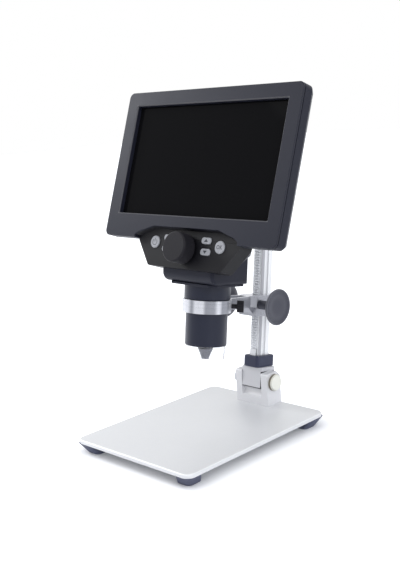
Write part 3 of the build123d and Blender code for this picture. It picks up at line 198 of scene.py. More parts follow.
class Graph:
    """A thin wrapper that adds nodes to a tree and joins them."""

    def __init__(self, tree: bpy.types.NodeTree) -> None:
        """Wrap a shader or geometry tree."""
        self.tree = tree

    def join(self, source: object, target: Socket) -> None:
        """Link an output to an input, or give the input a plain value.

        Args:
            source: The output or the value.
            target: The input.
        """
        if isinstance(source, Socket):
            self.tree.links.new(source, target)
        else:
            target.default_value = source

    def fill(self, node: bpy.types.Node, values: Values) -> None:
        """Join values or sockets to a node's inputs."""
        for key, value in values.items():
            self.join(value, node.inputs[key])

    def add(self, kind: str, values: Values | None = None, **settings: object) -> bpy.types.Node:
        """Add a node, set its properties and fill its inputs.

        Args:
            kind: The node's type name.
            values: What its inputs are given.
            settings: Properties to set on it first.

        Returns:
            The new node.
        """
        node = configured(self.tree.nodes.new(kind), **settings)
        self.fill(node, values or {})
        return node

    def out(self, kind: str, values: Values | None = None, output: str | int = 0,
            **settings: object) -> Socket:
        """Add a node and give one of its outputs."""
        return self.add(kind, values, **settings).outputs[output]

    def math(self, operation: str, *values: object, clamp: bool = False) -> Socket:
        """Result of a Math node, held between 0 and 1 if it is clamped."""
        return self.out("ShaderNodeMath", dict(enumerate(values)), operation=operation, use_clamp=clamp)

    def times(self, first: object, second: object) -> Socket:
        """Product of two numbers or sockets."""
        return self.math("MULTIPLY", first, second)

    def diagonal(self, first: Socket, second: Socket) -> Socket:
        """Length of the diagonal over two lengths at a right angle."""
        square = self.times(first, first)
        return self.math("SQRT", self.math("MULTIPLY_ADD", second, second, square))

    def blend(self, share: object, low: object, high: object) -> Socket:
        """Mix two colours by the share of the second."""
        low, high = [(*value, 1.0) if isinstance(value, tuple) else value for value in (low, high)]
        return self.out("ShaderNodeMix", {"Factor": share, 6: low, 7: high}, 2, data_type="RGBA")

    def spread(self, value: object, low: float, high: float, to_low: float = 0.0,
               to_high: float = 1.0) -> Socket:
        """Map a value from one range to another, held at the ends."""
        ends = (value, low, high, to_low, to_high)
        return self.out("ShaderNodeMapRange", dict(enumerate(ends)))

    def rise(self, value: object, start: float, width: float = SOFT_EDGE) -> Socket:
        """0 before a start and 1 past it, over a width."""
        return self.spread(value, start, start + width)

    def fall(self, value: object, start: float, width: float = SOFT_EDGE) -> Socket:
        """1 before a start and 0 past it, over a width."""
        return self.spread(value, start, start + width, 1.0, 0.0)

    def noise(self, vector: Socket, scale: object, detail: float = 2.0,
              roughness: float = 0.5) -> Socket:
        """Value of a noise texture, its scale per metre."""
        values = {"Vector": vector, "Scale": scale, "Detail": detail, "Roughness": roughness}
        return self.out("ShaderNodeTexNoise", values, "Fac")

    def mapped(self, vector: Socket, turn: Point = (0.0, 0.0, 0.0), move: Point = (0.0, 0.0, 0.0),
               scale: Point = (1.0, 1.0, 1.0)) -> Socket:
        """Move, then turn, then stretch coordinates.

        Args:
            vector: The coordinates.
            turn: Angles about the three axes.
            move: Place that becomes the origin.
            scale: Factors along the turned axes.

        Returns:
            The new coordinates' socket.
        """
        shifted = self.out("ShaderNodeVectorMath", {0: vector, 1: move}, operation="SUBTRACT")
        turned = self.out("ShaderNodeMapping", {"Vector": shifted, "Rotation": turn})
        return self.out("ShaderNodeVectorMath", {0: turned, 1: scale}, operation="MULTIPLY")

    def place(self, kind: str = "Object") -> Socket:
        """The object's own coordinates, or its normals."""
        return self.out("ShaderNodeTexCoord", None, kind)

    def split(self, vector: Socket) -> Sequence[Socket]:
        """X, Y and Z of a vector."""
        return self.add("ShaderNodeSeparateXYZ", {0: vector}).outputs

    def vector(self, x: object, y: object, z: object) -> Socket:
        """Vector of three numbers or sockets."""
        return self.out("ShaderNodeCombineXYZ", {0: x, 1: y, 2: z})

    def group(self, tree: bpy.types.NodeTree, **values: object) -> Sequence[Socket]:
        """Outputs of a shared shader group."""
        return self.add("ShaderNodeGroup", values, node_tree=tree).outputs

    def bump(self, height: Socket, depth: float) -> Socket:
        """Normal of a relief of some depth."""
        return self.out("ShaderNodeBump", {"Strength": 1.0, "Distance": depth, "Height": height})


def new_group(name: str, inputs: dict[str, float | None],
              outputs: Sequence[str]) -> tuple[Graph, Sequence[Socket], Sequence[Socket]]:
    """Make a shader node group with named sockets.

    Args:
        name: The group's name.
        inputs: Label and default of each input; a vector has no default.
        outputs: Label of each output, which are all numbers.

    Returns:
        A graph on the group, its inputs to read and its outputs to fill.
    """
    tree = bpy.data.node_groups.new(name, "ShaderNodeTree")
    for label, default in inputs.items():
        kind = "NodeSocketVector" if default is None else "NodeSocketFloat"
        socket = tree.interface.new_socket(name=label, in_out="INPUT", socket_type=kind)
        if default is not None:
            socket.default_value = default
    for label in outputs:
        tree.interface.new_socket(name=label, in_out="OUTPUT", socket_type="NodeSocketFloat")
    graph = Graph(tree)
    return graph, graph.add("NodeGroupInput").outputs, graph.add("NodeGroupOutput").inputs


# ---------------- shared effects


class Effects:
    """The shader groups that several finishes share, each built once."""

    def __init__(self) -> None:
        """Build the groups."""
        self.grain = self._grain()
        self.handling = self._handling()
        self.brushing = self._brushing()

    @staticmethod
    def _grain() -> bpy.types.NodeTree:
        """Make a fine moulded or blasted texture, as a height and a mask of flecks.

        Returns:
            The group.
        """
        graph, given, result = new_group("surface_grain", {"Scale": 3000.0, "Coarse": 0.35},
                                         ("Height", "Fleck"))
        place = graph.place()
        fine = graph.noise(place, given["Scale"], 2.0, 0.6)
        wide = graph.noise(place, graph.times(given["Scale"], 0.31), 1.0)
        height = graph.math("ADD", fine, graph.times(wide, given["Coarse"]))
        graph.join(height, result["Height"])
        graph.join(graph.spread(fine, 0.35, 0.65), result["Fleck"])
        return graph.tree

    @staticmethod
    def _handling() -> bpy.types.NodeTree:
        """Make faint smears of handling and a little settled dust.

        Returns:
            The group.
        """
        graph, given, result = new_group("handling_marks", {"Smear": 0.06, "Dust": 0.1},
                                         ("Roughness Shift", "Dust Mask"))
        place = graph.place()
        broad = graph.spread(graph.noise(place, 38.0, 3.0, 0.62), 0.3, 0.7, -1.0, 1.0)
        graph.join(graph.times(broad, given["Smear"]), result["Roughness Shift"])
        normal = graph.out("ShaderNodeNewGeometry", None, "Normal")
        upward = graph.spread(graph.split(normal)["Z"], 0.55, 1.0)
        specks = graph.spread(graph.noise(place, 900.0, 2.0, 0.7), 0.52, 0.72)
        dust = graph.times(graph.times(upward, specks), given["Dust"])
        graph.join(dust, result["Dust Mask"])
        return graph.tree

    @staticmethod
    def _brushing() -> bpy.types.NodeTree:
        """Make fine parallel scratches from coordinates that are already stretched.

        Returns:
            The group.
        """
        graph, given, result = new_group("brushed_lines", {"Vector": None, "Scale": 1.0},
                                         ("Height", "Streak"))
        lines = graph.noise(given["Vector"], given["Scale"], 4.0, 0.7)
        broad = graph.noise(given["Vector"], graph.times(given["Scale"], 0.17))
        graph.join(graph.math("ADD", lines, graph.times(broad, 0.5)), result["Height"])
        graph.join(graph.spread(lines, 0.3, 0.7), result["Streak"])
        return graph.tree


class Coat(Graph):
    """A material's graph, with the shared effects at hand."""

    line_scale = 5200.0  # of brushed lines, per metre

    def __init__(self, tree: bpy.types.NodeTree, effects: Effects) -> None:
        """Wrap a material's tree and keep the shared groups."""
        super().__init__(tree)
        self.effects = effects

    def grain(self, **values: float) -> SocketPair:
        """Height of the moulded or blasted grain, and a mask of its flecks."""
        grain = self.group(self.effects.grain, **values)
        return grain["Height"], grain["Fleck"]

    def brushed(self, vector: Socket) -> SocketPair:
        """Height and streak mask of lines on stretched coordinates."""
        lines = self.group(self.effects.brushing, Vector=vector, Scale=self.line_scale)
        return lines["Height"], lines["Streak"]

    def handled(self, rough: object, smear: float, dust: float = 0.0) -> SocketPair:
        """Roughness with smears of handling, and a mask of settled dust."""
        marks = self.group(self.effects.handling, Smear=smear, Dust=dust)
        return self.math("ADD", rough, marks["Roughness Shift"], clamp=True), marks["Dust Mask"]


# ---------------- finishes


class Lay(Enum):
    """Direction in which a metal's finishing lines run."""

    BLASTED = "no lines, an even matt grain"
    ALONG_STAND = "along the pole"
    ALONG_X = "across the object"
    RING_AND_ARM = "round the barrel's axis on the ring, an even grain on the arm"
    ROUND_SHAFT = "round an axis along X"


@dataclass(frozen=True)
class Finish:
    """What every finish has.

    Attributes:
        name: The material's name.
        colour: Its colour.
        roughness: Its roughness before handling.
        tip: Angle about X of the finish's own frame.
        centre: Origin of that frame.
    """

    name: str
    colour: Colour
    roughness: float
    tip: float = 0.0
    centre: Point = (0.0, 0.0, 0.0)

    def build(self, effects: Effects) -> bpy.types.Material:
        """Build the material.

        Args:
            effects: The shared shader groups.

        Returns:
            The finished material.
        """
        material = bpy.data.materials.new(self.name)
        material.use_nodes = True
        material.diffuse_color = (*self.colour, 1.0)
        coat = Coat(material.node_tree, effects)
        coat.fill(material.node_tree.nodes["Principled BSDF"], self.shading(coat))
        return material

    def shading(self, coat: Coat) -> Values:
        """What the main shader's inputs are given."""
        raise NotImplementedError

    def local(self, coat: Coat) -> Socket:
        """Coordinates in the finish's own frame."""
        return coat.mapped(coat.place(), (self.tip, 0.0, 0.0), self.centre)


@dataclass(frozen=True)
class Moulded(Finish):
    """Moulded plastic or rubber with a spark-eroded grain."""

    grain_scale: float = 2600.0
    grain_depth: float = 0.012 * MM
    fleck: float = 0.06
    smear: float = 0.05
    dust: float = 0.04
    gloss: float = 0.28

    def tone(self, coat: Coat, fleck: Socket) -> Socket:
        """Colour of the plastic before dust, from the mask of the grain's flecks."""
        return self.flecked(coat, fleck, self.colour)

    def flecked(self, coat: Coat, fleck: Socket, colour: Colour) -> Socket:
        """A colour with the grain's flecks a shade lighter."""
        return coat.blend(fleck, shade(colour, 1 - self.fleck), shade(colour, 1 + self.fleck, 0.004))

    def shading(self, coat: Coat) -> Values:
        """Shade the plastic.

        Args:
            coat: The material's graph.

        Returns:
            Values and sockets by the labels of the shader's inputs.
        """
        height, fleck = coat.grain(Scale=self.grain_scale)
        rough, dust = coat.handled(self.roughness, self.smear, self.dust)
        return {"Base Color": coat.blend(dust, self.tone(coat, fleck), shade(self.colour, 0.6, 0.25)),
                "Roughness": rough, "Specular IOR Level": self.gloss,
                "Normal": coat.bump(height, self.grain_depth)}


@dataclass(frozen=True)
class CaseShell(Moulded):
    """Plastic of the front case, darker in the recess round the buttons as painted shade, with a painted
    highlight on the window's chamfer.
    """

    # painted shade: colour of the recess round the buttons
    chin: Colour = linear(12, 12, 18)
    chin_top: float = -52.0 * MM
    face_depth: float = 0.5 * MM
    # painted highlight: colour of the window's chamfer
    chamfer: Colour = (0.09, 0.09, 0.10)
    chamfer_width: float = 0.8 * MM
    chamfer_low: float = -0.95 * MM
    window: Pair = (77.75 * MM, 43.75 * MM)

    def tone(self, coat: Coat, fleck: Socket) -> Socket:
        """Colour of the shell before dust, with the painted shade in the chin's recess and the painted
        highlight on the window's chamfer.

        Args:
            coat: The material's graph.
            fleck: Mask of the grain's flecks.

        Returns:
            The colour's socket.
        """
        x, y, z = coat.split(self.local(coat))
        # painted shade below the chin's top, on faces sunk behind the front
        below = coat.math("LESS_THAN", y, self.chin_top)
        sunk = coat.spread(z, -self.face_depth, -5 * self.face_depth)
        width, height = [
            coat.fall(coat.math("ABSOLUTE", off), half + self.chamfer_width)
            for off, half in zip((x, y), self.window)]
        # painted highlight on the window's chamfer
        edge = coat.times(coat.times(width, height), coat.rise(z, self.chamfer_low))
        shell = coat.blend(edge, self.flecked(coat, fleck, self.colour), self.chamfer)
        return coat.blend(coat.times(below, sunk), shell, self.flecked(coat, fleck, self.chin))


@dataclass(frozen=True)
class KnobFace(Moulded):
    """Plastic of the round height knobs, with painted highlights on the rim and on a ring in the dish."""

    # painted highlight: colour of the rim and of the ring in the dish
    worn: Colour = linear(132, 133, 140)
    outline: float = 14.6 * MM

    def tone(self, coat: Coat, fleck: Socket) -> Socket:
        """Colour of the knob before dust, with its painted highlights.

        Args:
            coat: The material's graph.
            fleck: Mask of the grain's flecks.

        Returns:
            The colour's socket.
        """
        _, y, z = coat.split(self.local(coat))
        radius = coat.times(coat.diagonal(y, z), 1.0 / self.outline)
        # painted highlight on the rim and on a ring in the dish
        rim = coat.spread(radius, 0.92, 0.97, 0.0, 0.45)
        ring = coat.times(coat.spread(radius, 0.30, 0.62, 0.0, 0.10),
                          coat.spread(radius, 0.62, 0.80, 1.0, 0.0))
        share = coat.math("MAXIMUM", rim, ring)
        return coat.blend(share, self.flecked(coat, fleck, self.colour), self.worn)


@dataclass(frozen=True)
class Metal(Finish):
    """Bare or anodised metal with finishing lines in one direction."""

    lay: Lay = Lay.BLASTED
    metallic: float = 1.0
    line_depth: float = 0.006 * MM
    tone: float = 0.08
    smear: float = 0.05
    stretch: float = 0.012
    ring_radius: float = 19.3 * MM

    def lines(self, coat: Coat) -> SocketPair:
        """Work out the finishing lines.

        Args:
            coat: The material's graph.

        Returns:
            Their height and their streak mask.
        """
        even = {"Scale": 4200.0, "Coarse": 0.5}
        if self.lay is Lay.BLASTED:
            return coat.grain(**even)
        local = self.local(coat)
        if self.lay in (Lay.ALONG_STAND, Lay.ALONG_X):
            upright = self.lay is Lay.ALONG_STAND
            scale = (1.0, 1.0, self.stretch) if upright else (self.stretch, 1.0, 1.0)
            return coat.brushed(coat.mapped(local, scale=scale))
        x, y, z = coat.split(local)
        if self.lay is Lay.ROUND_SHAFT:
            return coat.brushed(coat.vector(coat.diagonal(z, y), 0.0, x))
        radius = coat.diagonal(x, y)
        on_ring = self.on_ring(coat, radius)
        lines = coat.brushed(coat.vector(radius, 0.0, z))
        return tuple(coat.blend(on_ring, rough, fine) for rough, fine in zip(coat.grain(**even), lines))

    def on_ring(self, coat: Coat, radius: Socket) -> Socket:
        """1 on the clamping ring and 0 on the arm behind it."""
        return coat.fall(radius, self.ring_radius, 0.4 * MM)

    def shading(self, coat: Coat) -> Values:
        """Shade the metal.

        Args:
            coat: The material's graph.

        Returns:
            Values and sockets by the labels of the shader's inputs.
        """
        height, mask = self.lines(coat)
        bare = coat.blend(mask, shade(self.colour, 1 - self.tone), shade(self.colour, 1 + self.tone))
        rough = coat.spread(mask, 0.0, 1.0, self.roughness + 0.05, self.roughness - 0.05)
        # the base colour carries each subclass's painted light and shade
        return {"Base Color": self.soiled(coat, bare), "Metallic": self.metallic,
                "Roughness": coat.handled(rough, self.smear)[0],
                "Normal": coat.bump(height, self.line_depth)}

    def soiled(self, coat: Coat, bare: Socket) -> Socket:
        """Colour of the bare metal with its painted light and shade; none on plain metal."""
        return bare


@dataclass(frozen=True)
class HingeMetal(Metal):
    """Metal of the hinge's tongue, with painted shade along its joint with the ears and the web."""

    # painted shade: colour of the gaps beside and under the tongue
    grease: Colour = (0.035, 0.035, 0.04)
    joint: float = 9.25 * MM
    joint_top: float = 8.4 * MM
    lowest: float = -5.3 * MM

    def soiled(self, coat: Coat, bare: Socket) -> Socket:
        """Colour with painted shade at the joint.

        Args:
            coat: The material's graph.
            bare: Colour of the bare metal.

        Returns:
            The colour's socket.
        """
        x, _, z = coat.split(self.local(coat))
        # painted shade on the +X side beside the ears and along the foot by the web
        beside = coat.times(coat.rise(x, self.joint), coat.fall(z, self.joint_top))
        return coat.blend(coat.math("MAXIMUM", beside, coat.fall(z, self.lowest)), bare, self.grease)


@dataclass(frozen=True)
class PoleMetal(Metal):
    """Drawn metal of the pole, with painted shade in its channel and on a strip beside it."""

    # painted shade: colour of the channel and the strip
    channel: Colour = linear(160, 160, 166)
    channel_half: float = 1.8 * MM
    strip: Pair = (-6.6 * MM, -3.4 * MM)

    def soiled(self, coat: Coat, bare: Socket) -> Socket:
        """Colour with the painted shade in the channel and on the strip.

        Args:
            coat: The material's graph.
            bare: Colour of the bare metal.

        Returns:
            The colour's socket.
        """
        _, y, _ = coat.split(self.local(coat))
        off, half = coat.math("ABSOLUTE", y), self.channel_half
        # painted shade in the channel
        inside = coat.spread(off, half, half + 0.2 * MM, 0.2, 0.0)
        low, high = self.strip
        # painted shade on the strip beside the channel
        band = coat.times(coat.rise(y, low), coat.spread(y, high, high + 0.5 * MM, 0.9, 0.0))
        return coat.blend(coat.math("MAXIMUM", inside, band), bare, self.channel)


@dataclass(frozen=True)
class ArmMetal(Metal):
    """Metal of the arm: bare on top, with painted reflection bands on the turned ring and painted shade on
    its sides.
    """

    # painted shade: colour of the arm's sides
    cast: Colour = linear(170, 171, 178)
    # painted reflection: colour of the dark bands on the ring
    band: Colour = linear(128, 130, 138)
    band_scale: float = 95.0

    def soiled(self, coat: Coat, bare: Socket) -> Socket:
        """Colour with painted shade on the sides and painted reflection bands on the ring.

        Args:
            coat: The material's graph.
            bare: Colour of the bare metal.

        Returns:
            The colour's socket.
        """
        local = self.local(coat)
        x, y, _ = coat.split(local)
        on_ring = self.on_ring(coat, coat.diagonal(x, y))
        # faces that point up stay bare; the arm's other faces get painted shade
        top = coat.spread(coat.split(coat.place("Normal"))["Z"], 0.75, 0.9)
        # painted reflection: bands round the ring's axis
        reflection_bands = coat.noise(coat.mapped(local, scale=(1.0, 1.0, 0.0)), self.band_scale, 1.0)
        turned = coat.blend(coat.spread(reflection_bands, 0.42, 0.58, 0.0, 0.85), bare, self.band)
        faces = coat.blend(on_ring, bare, turned)
        return coat.blend(coat.math("MAXIMUM", on_ring, top), self.cast, faces)


@dataclass(frozen=True)
class BoltMetal(Metal):
    """Metal of the hinge bolt: polished faces across its axis, with a brownish painted shade on the rim
    round it.
    """

    # painted shade, brownish, on the rim round the bolt's axis
    rim: Colour = linear(128, 122, 108)

    def soiled(self, coat: Coat, bare: Socket) -> Socket:
        """Colour with painted shade on the rim."""
        across = coat.math("ABSOLUTE", coat.split(coat.place("Normal"))["X"])
        return coat.blend(coat.spread(across, 0.35, 0.6), self.rim, bare)


@dataclass(frozen=True)
class Clear(Finish):
    """Clear moulded plastic or lens glass, with a faint tint."""

    index: float = 1.49
    waviness: float = 0.0

    def shading(self, coat: Coat) -> Values:
        """Shade the clear material.

        Args:
            coat: The material's graph.

        Returns:
            Values and sockets by the labels of the shader's inputs.
        """
        height, fleck = coat.grain(Scale=160.0)
        shading = {"Base Color": coat.blend(fleck, self.colour, shade(self.colour, 0.985)),
                   "Roughness": coat.handled(self.roughness, 0.03)[0],
                   "Transmission Weight": 1.0, "IOR": self.index}
        if self.waviness > 0:
            shading["Normal"] = coat.bump(height, self.waviness)
        return shading


@dataclass(frozen=True)
class ScreenGlass(Finish):
    """Black-backed cover glass with the display's area a shade lighter."""

    display: Pair = (77.1 * MM, 42.95 * MM)
    area: Colour = (0.0052, 0.0052, 0.006)
    gloss: float = 0.03

    def shading(self, coat: Coat) -> Values:
        """Shade the glass.

        Args:
            coat: The material's graph.

        Returns:
            Values and sockets by the labels of the shader's inputs.
        """
        x, y, _ = coat.split(self.local(coat))
        inside = coat.times(*(coat.math("LESS_THAN", coat.math("ABSOLUTE", off), half)
                              for off, half in zip((x, y), self.display)))
        return {"Base Color": coat.blend(inside, self.colour, self.area),
                "Roughness": coat.handled(self.roughness, 0.02)[0],
                "Specular IOR Level": self.gloss}


@dataclass(frozen=True)
class CircuitBoard(Finish):
    """Solder mask over copper tracks and pads."""

    copper: Colour = (0.03, 0.20, 0.09)
    pad: Colour = (0.62, 0.60, 0.52)
    relief: float = 0.03 * MM

    def shading(self, coat: Coat) -> Values:
        """Shade the board.

        Args:
            coat: The material's graph.

        Returns:
            Values and sockets by the labels of the shader's inputs.
        """
        place = coat.place()
        line, dot = [
            coat.math("LESS_THAN", coat.out("ShaderNodeTexVoronoi", {"Vector": place, "Scale": scale},
                                            "Distance", feature=feature), reach)
            for feature, scale, reach in (("DISTANCE_TO_EDGE", 420.0, 0.08), ("F1", 300.0, 0.16))]
        tone = coat.blend(line, self.colour, self.copper)
        return {"Base Color": coat.blend(dot, tone, self.pad),
                "Roughness": coat.spread(dot, 0.0, 1.0, self.roughness, 0.28),
                "Metallic": coat.times(dot, 0.9),
                "Normal": coat.bump(coat.math("ADD", line, dot), self.relief)}


@dataclass(frozen=True)
class LampFace(Finish):
    """Phosphor of a white lamp, faintly mottled under a clear coat."""

    def shading(self, coat: Coat) -> Values:
        """Shade the phosphor.

        Args:
            coat: The material's graph.

        Returns:
            Values and sockets by the labels of the shader's inputs.
        """
        _, fleck = coat.grain(Scale=5200.0)
        return {"Base Color": coat.blend(fleck, self.colour, shade(self.colour, 0.86)),
                "Roughness": self.roughness, "Coat Weight": 1.0}


class Palette:
    """Every finish of the object, built once and looked up by its name."""

    def __init__(self, layout: Layout) -> None:
        """Build the materials.

        Args:
            layout: Where the stand, the barrel and the screen are.
        """
        effects = Effects()
        hinge = {"centre": tuple(layout.stand.origin)}
        pole = {"tip": layout.stand.tip, **hinge}
        barrel = {"tip": layout.stand.tip, "centre": tuple(layout.barrel)}
        window = {"tip": layout.screen.tip, "centre": tuple(layout.window.translation)}
        low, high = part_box("height_knob_right")
        knob = (0.0, (low.y + high.y) / 2, (low.z + high.z) / 2)
        case = {"grain_scale": 3200.0, "dust": 0.03}
        finishes = [
            Metal("plate_satin_silver", linear(222, 223, 225), 0.45, metallic=0.5, tone=0.025),
            Moulded("foot_rubber_navy", linear(86, 90, 110), 0.62, grain_scale=1800.0),
            Metal("bracket_blasted_silver", linear(220, 220, 223), 0.52, metallic=0.3, tone=0.03),
            HingeMetal("tongue_blasted_silver", linear(200, 200, 204), 0.50, metallic=0.3,
                       tone=0.03, **pole),
            PoleMetal("pole_drawn_silver", linear(243, 244, 246), 0.24, lay=Lay.ALONG_STAND,
                      metallic=0.25, tone=0.04, **pole),
            Metal("rack_cut_silver", linear(232, 233, 236), 0.50, lay=Lay.ALONG_X, metallic=0.1,
                  tone=0.04, line_depth=0.004 * MM, **pole),
            ArmMetal("arm_turned_silver", linear(216, 217, 223), 0.30, lay=Lay.RING_AND_ARM,
                     metallic=0.4, tone=0.05, line_depth=0.004 * MM, **barrel),
            BoltMetal("bolt_turned_steel", linear(226, 226, 217), 0.36, lay=Lay.ROUND_SHAFT,
                      metallic=0.4, tone=0.03, **hinge),
            Metal("screw_zinc", linear(176, 178, 184), 0.32, tone=0.05),
            Moulded("collar_plastic_navy", linear(44, 49, 72), 0.42, gloss=0.3),
            Moulded("knob_plastic_black", linear(30, 29, 34), 0.55, grain_scale=2200.0, gloss=0.14),
            KnobFace("knob_plastic_grey", linear(62, 63, 74), 0.44, grain_scale=2200.0, gloss=0.35,
                     centre=knob),
            CaseShell("case_front_charcoal", linear(28, 30, 43), 0.46, gloss=0.22, **case, **window),
            Moulded("case_plastic_charcoal", linear(29, 31, 44), 0.46, gloss=0.18, **case),
            Moulded("barrel_satin_navy", linear(22, 27, 46), 0.34, grain_scale=4200.0,
                    grain_depth=0.006 * MM, gloss=0.3),
            Moulded("key_silver_grey", linear(168, 169, 174), 0.40, grain_scale=3600.0, fleck=0.03),
            Moulded("mark_ink_dark", linear(66, 67, 72), 0.60, grain_scale=5200.0),
            ScreenGlass("screen_cover_glass", linear(14, 14, 16), 0.05, **window),
            Moulded("panel_frame_black", linear(30, 30, 32), 0.55),
            CircuitBoard("board_green", linear(22, 70, 44), 0.34),
            CircuitBoard("board_white", linear(226, 228, 226), 0.36, copper=linear(206, 210, 206),
                         pad=linear(196, 190, 170)),
            Moulded("cell_foil_grey", linear(150, 154, 160), 0.34, grain_scale=900.0),
            Clear("hood_clear_plastic", (0.93, 0.94, 0.955), 0.06, waviness=0.01 * MM),
            Clear("lens_coated_glass", (0.86, 0.93, 0.97), 0.01, index=1.52),
            LampFace("lamp_phosphor", linear(238, 214, 120), 0.35),
            Moulded("lamp_housing_white", linear(236, 236, 232), 0.40),
            Moulded("nylon_black", linear(34, 34, 36), 0.50),
            Moulded("cone_satin_grey", linear(104, 106, 118), 0.38, gloss=0.4),
            Metal("contact_gilt", linear(214, 178, 102), 0.25, tone=0.04),
        ]
        self._made = {finish.name: finish.build(effects) for finish in finishes}

    def __getitem__(self, name: str) -> bpy.types.Material:
        """Material of a finish, by its name."""
        return self._made[name]


# ---------------- mesh making


def linked(name: str, data: bpy.types.ID) -> bpy.types.Object:
    """Put a mesh, a lamp or a camera in the scene as a new object at the origin.

    Args:
        name: The object's name.
        data: What it shows.

    Returns:
        The object.
    """
    piece = bpy.data.objects.new(name, data)
    bpy.context.scene.collection.objects.link(piece)
    return piece


def solid(name: str, form: bmesh.types.BMesh, place: Matrix) -> bpy.types.Object:
    """Turn a bmesh into a placed piece with outward faces.

    Args:
        name: The name of the piece and its mesh.
        form: The form, which is freed.
        place: Matrix from its own place to the model's frame.

    Returns:
        The piece.
    """
    bmesh.ops.remove_doubles(form, verts=form.verts, dist=1e-7)
    bmesh.ops.recalc_face_normals(form, faces=form.faces)
    mesh = bpy.data.meshes.new(name)
    form.to_mesh(mesh)
    form.free()
    mesh.transform(place)
    return linked(name, mesh)


def flat_plates(outlines: Sequence[Outline], low: float, high: float) -> bmesh.types.BMesh:
    """Extrude flat outlines between two heights.

    Args:
        outlines: Closed outlines of (x, y) points.
        low: Height of the underside.
        high: Height of the top.

    Returns:
        The plates as one form.
    """
    form = bmesh.new()
    for outline in outlines:
        bottom, top = [[form.verts.new((x, y, z)) for x, y in outline] for z in (low, high)]
        form.faces.new(list(reversed(bottom)))
        form.faces.new(top)
        for index in range(len(outline)):
            after = (index + 1) % len(outline)
            form.faces.new((bottom[index], bottom[after], top[after], top[index]))
    return form


def boxes(spans: Sequence[tuple[Pair, Pair, Pair]], rounding: float) -> bmesh.types.BMesh:
    """Make boxes with rounded edges.

    Args:
        spans: Low and high of each box on the three axes, in millimetres.
        rounding: Radius of the edges in millimetres.

    Returns:
        The boxes as one form.
    """
    form = bmesh.new()
    for span in spans:
        size = Vector([(high - low) * MM for low, high in span])
        middle = Vector([(high + low) * MM / 2 for low, high in span])
        place = Matrix.Translation(middle) @ Matrix.Diagonal((*size, 1.0))
        bmesh.ops.create_cube(form, size=1.0, matrix=place)
    bmesh.ops.bevel(form, geom=form.edges[:], offset=rounding * MM, segments=2, affect="EDGES",
                    profile=0.5)
    return form


class EdgeFinish:
    """Merges a form's loose triangles, rounds its sharp edges and shades it smooth."""

    sharp_angle = radians(32.0)
    flat_angle = radians(0.6)
    merge_distance = 0.001 * MM

    def __init__(self) -> None:
        """Build the tree that merges and shades."""
        tree = bpy.data.node_groups.new("merge_and_shade", "GeometryNodeTree")
        for way in ("INPUT", "OUTPUT"):
            tree.interface.new_socket(name="Form", in_out=way, socket_type="NodeSocketGeometry")
        graph = Graph(tree)
        form = graph.out("NodeGroupInput")
        form = graph.out("GeometryNodeMergeByDistance", {"Geometry": form, "Distance": self.merge_distance})
        form = graph.out("GeometryNodeSetShadeSmooth", {"Geometry": form, "Shade Smooth": True},
                         domain="FACE")
        fold = graph.out("GeometryNodeInputMeshEdgeAngle", None, "Unsigned Angle")
        sharp = graph.out("FunctionNodeCompare", {0: fold, 1: self.sharp_angle}, "Result",
                          data_type="FLOAT", operation="GREATER_THAN")
        form = graph.out("GeometryNodeSetShadeSmooth", {
            "Geometry": form, "Selection": sharp, "Shade Smooth": False}, domain="EDGE")
        graph.join(form, graph.add("NodeGroupOutput").inputs[0])
        self.tree = tree

    def apply(self, piece: bpy.types.Object, rounding: float, segments: int) -> None:
        """Add the modifiers to a piece; its own mesh stays as it is.

        Args:
            piece: The piece to finish.
            rounding: Radius of the rounded edges, or 0 for none.
            segments: Facets across each rounded edge.
        """
        configured(piece.modifiers.new("merge_and_shade", "NODES"), node_group=self.tree)
        if rounding > 0:
            configured(piece.modifiers.new("flatten", "DECIMATE"), decimate_type="DISSOLVE",
                       angle_limit=self.flat_angle)
            configured(piece.modifiers.new("round_edges", "BEVEL"), width=rounding,
                       segments=segments, limit_method="ANGLE", angle_limit=self.sharp_angle,
                       use_clamp_overlap=True)
        configured(piece.modifiers.new("weigh_normals", "WEIGHTED_NORMAL"), keep_sharp=True)


# ---------------- repeated forms


class Recess(Enum):
    """Shape of a screw's driver recess."""

    CROSS = "two crossed slots"
    HEX = "hexagonal socket"


@dataclass(frozen=True)
class Screw:
    """Sizes of a screw in millimetres."""

    head_radius: float
    neck_radius: float
    head_height: float
    shank_radius: float
    shank_length: float
    recess_width: float
    recess_depth: float
    edge: float

    @classmethod
    def labels(cls) -> dict[str, str]:
        """Names of the sizes by the labels of the pattern's inputs."""
        return {item.name.replace("_", " ").title(): item.name for item in fields(cls)}


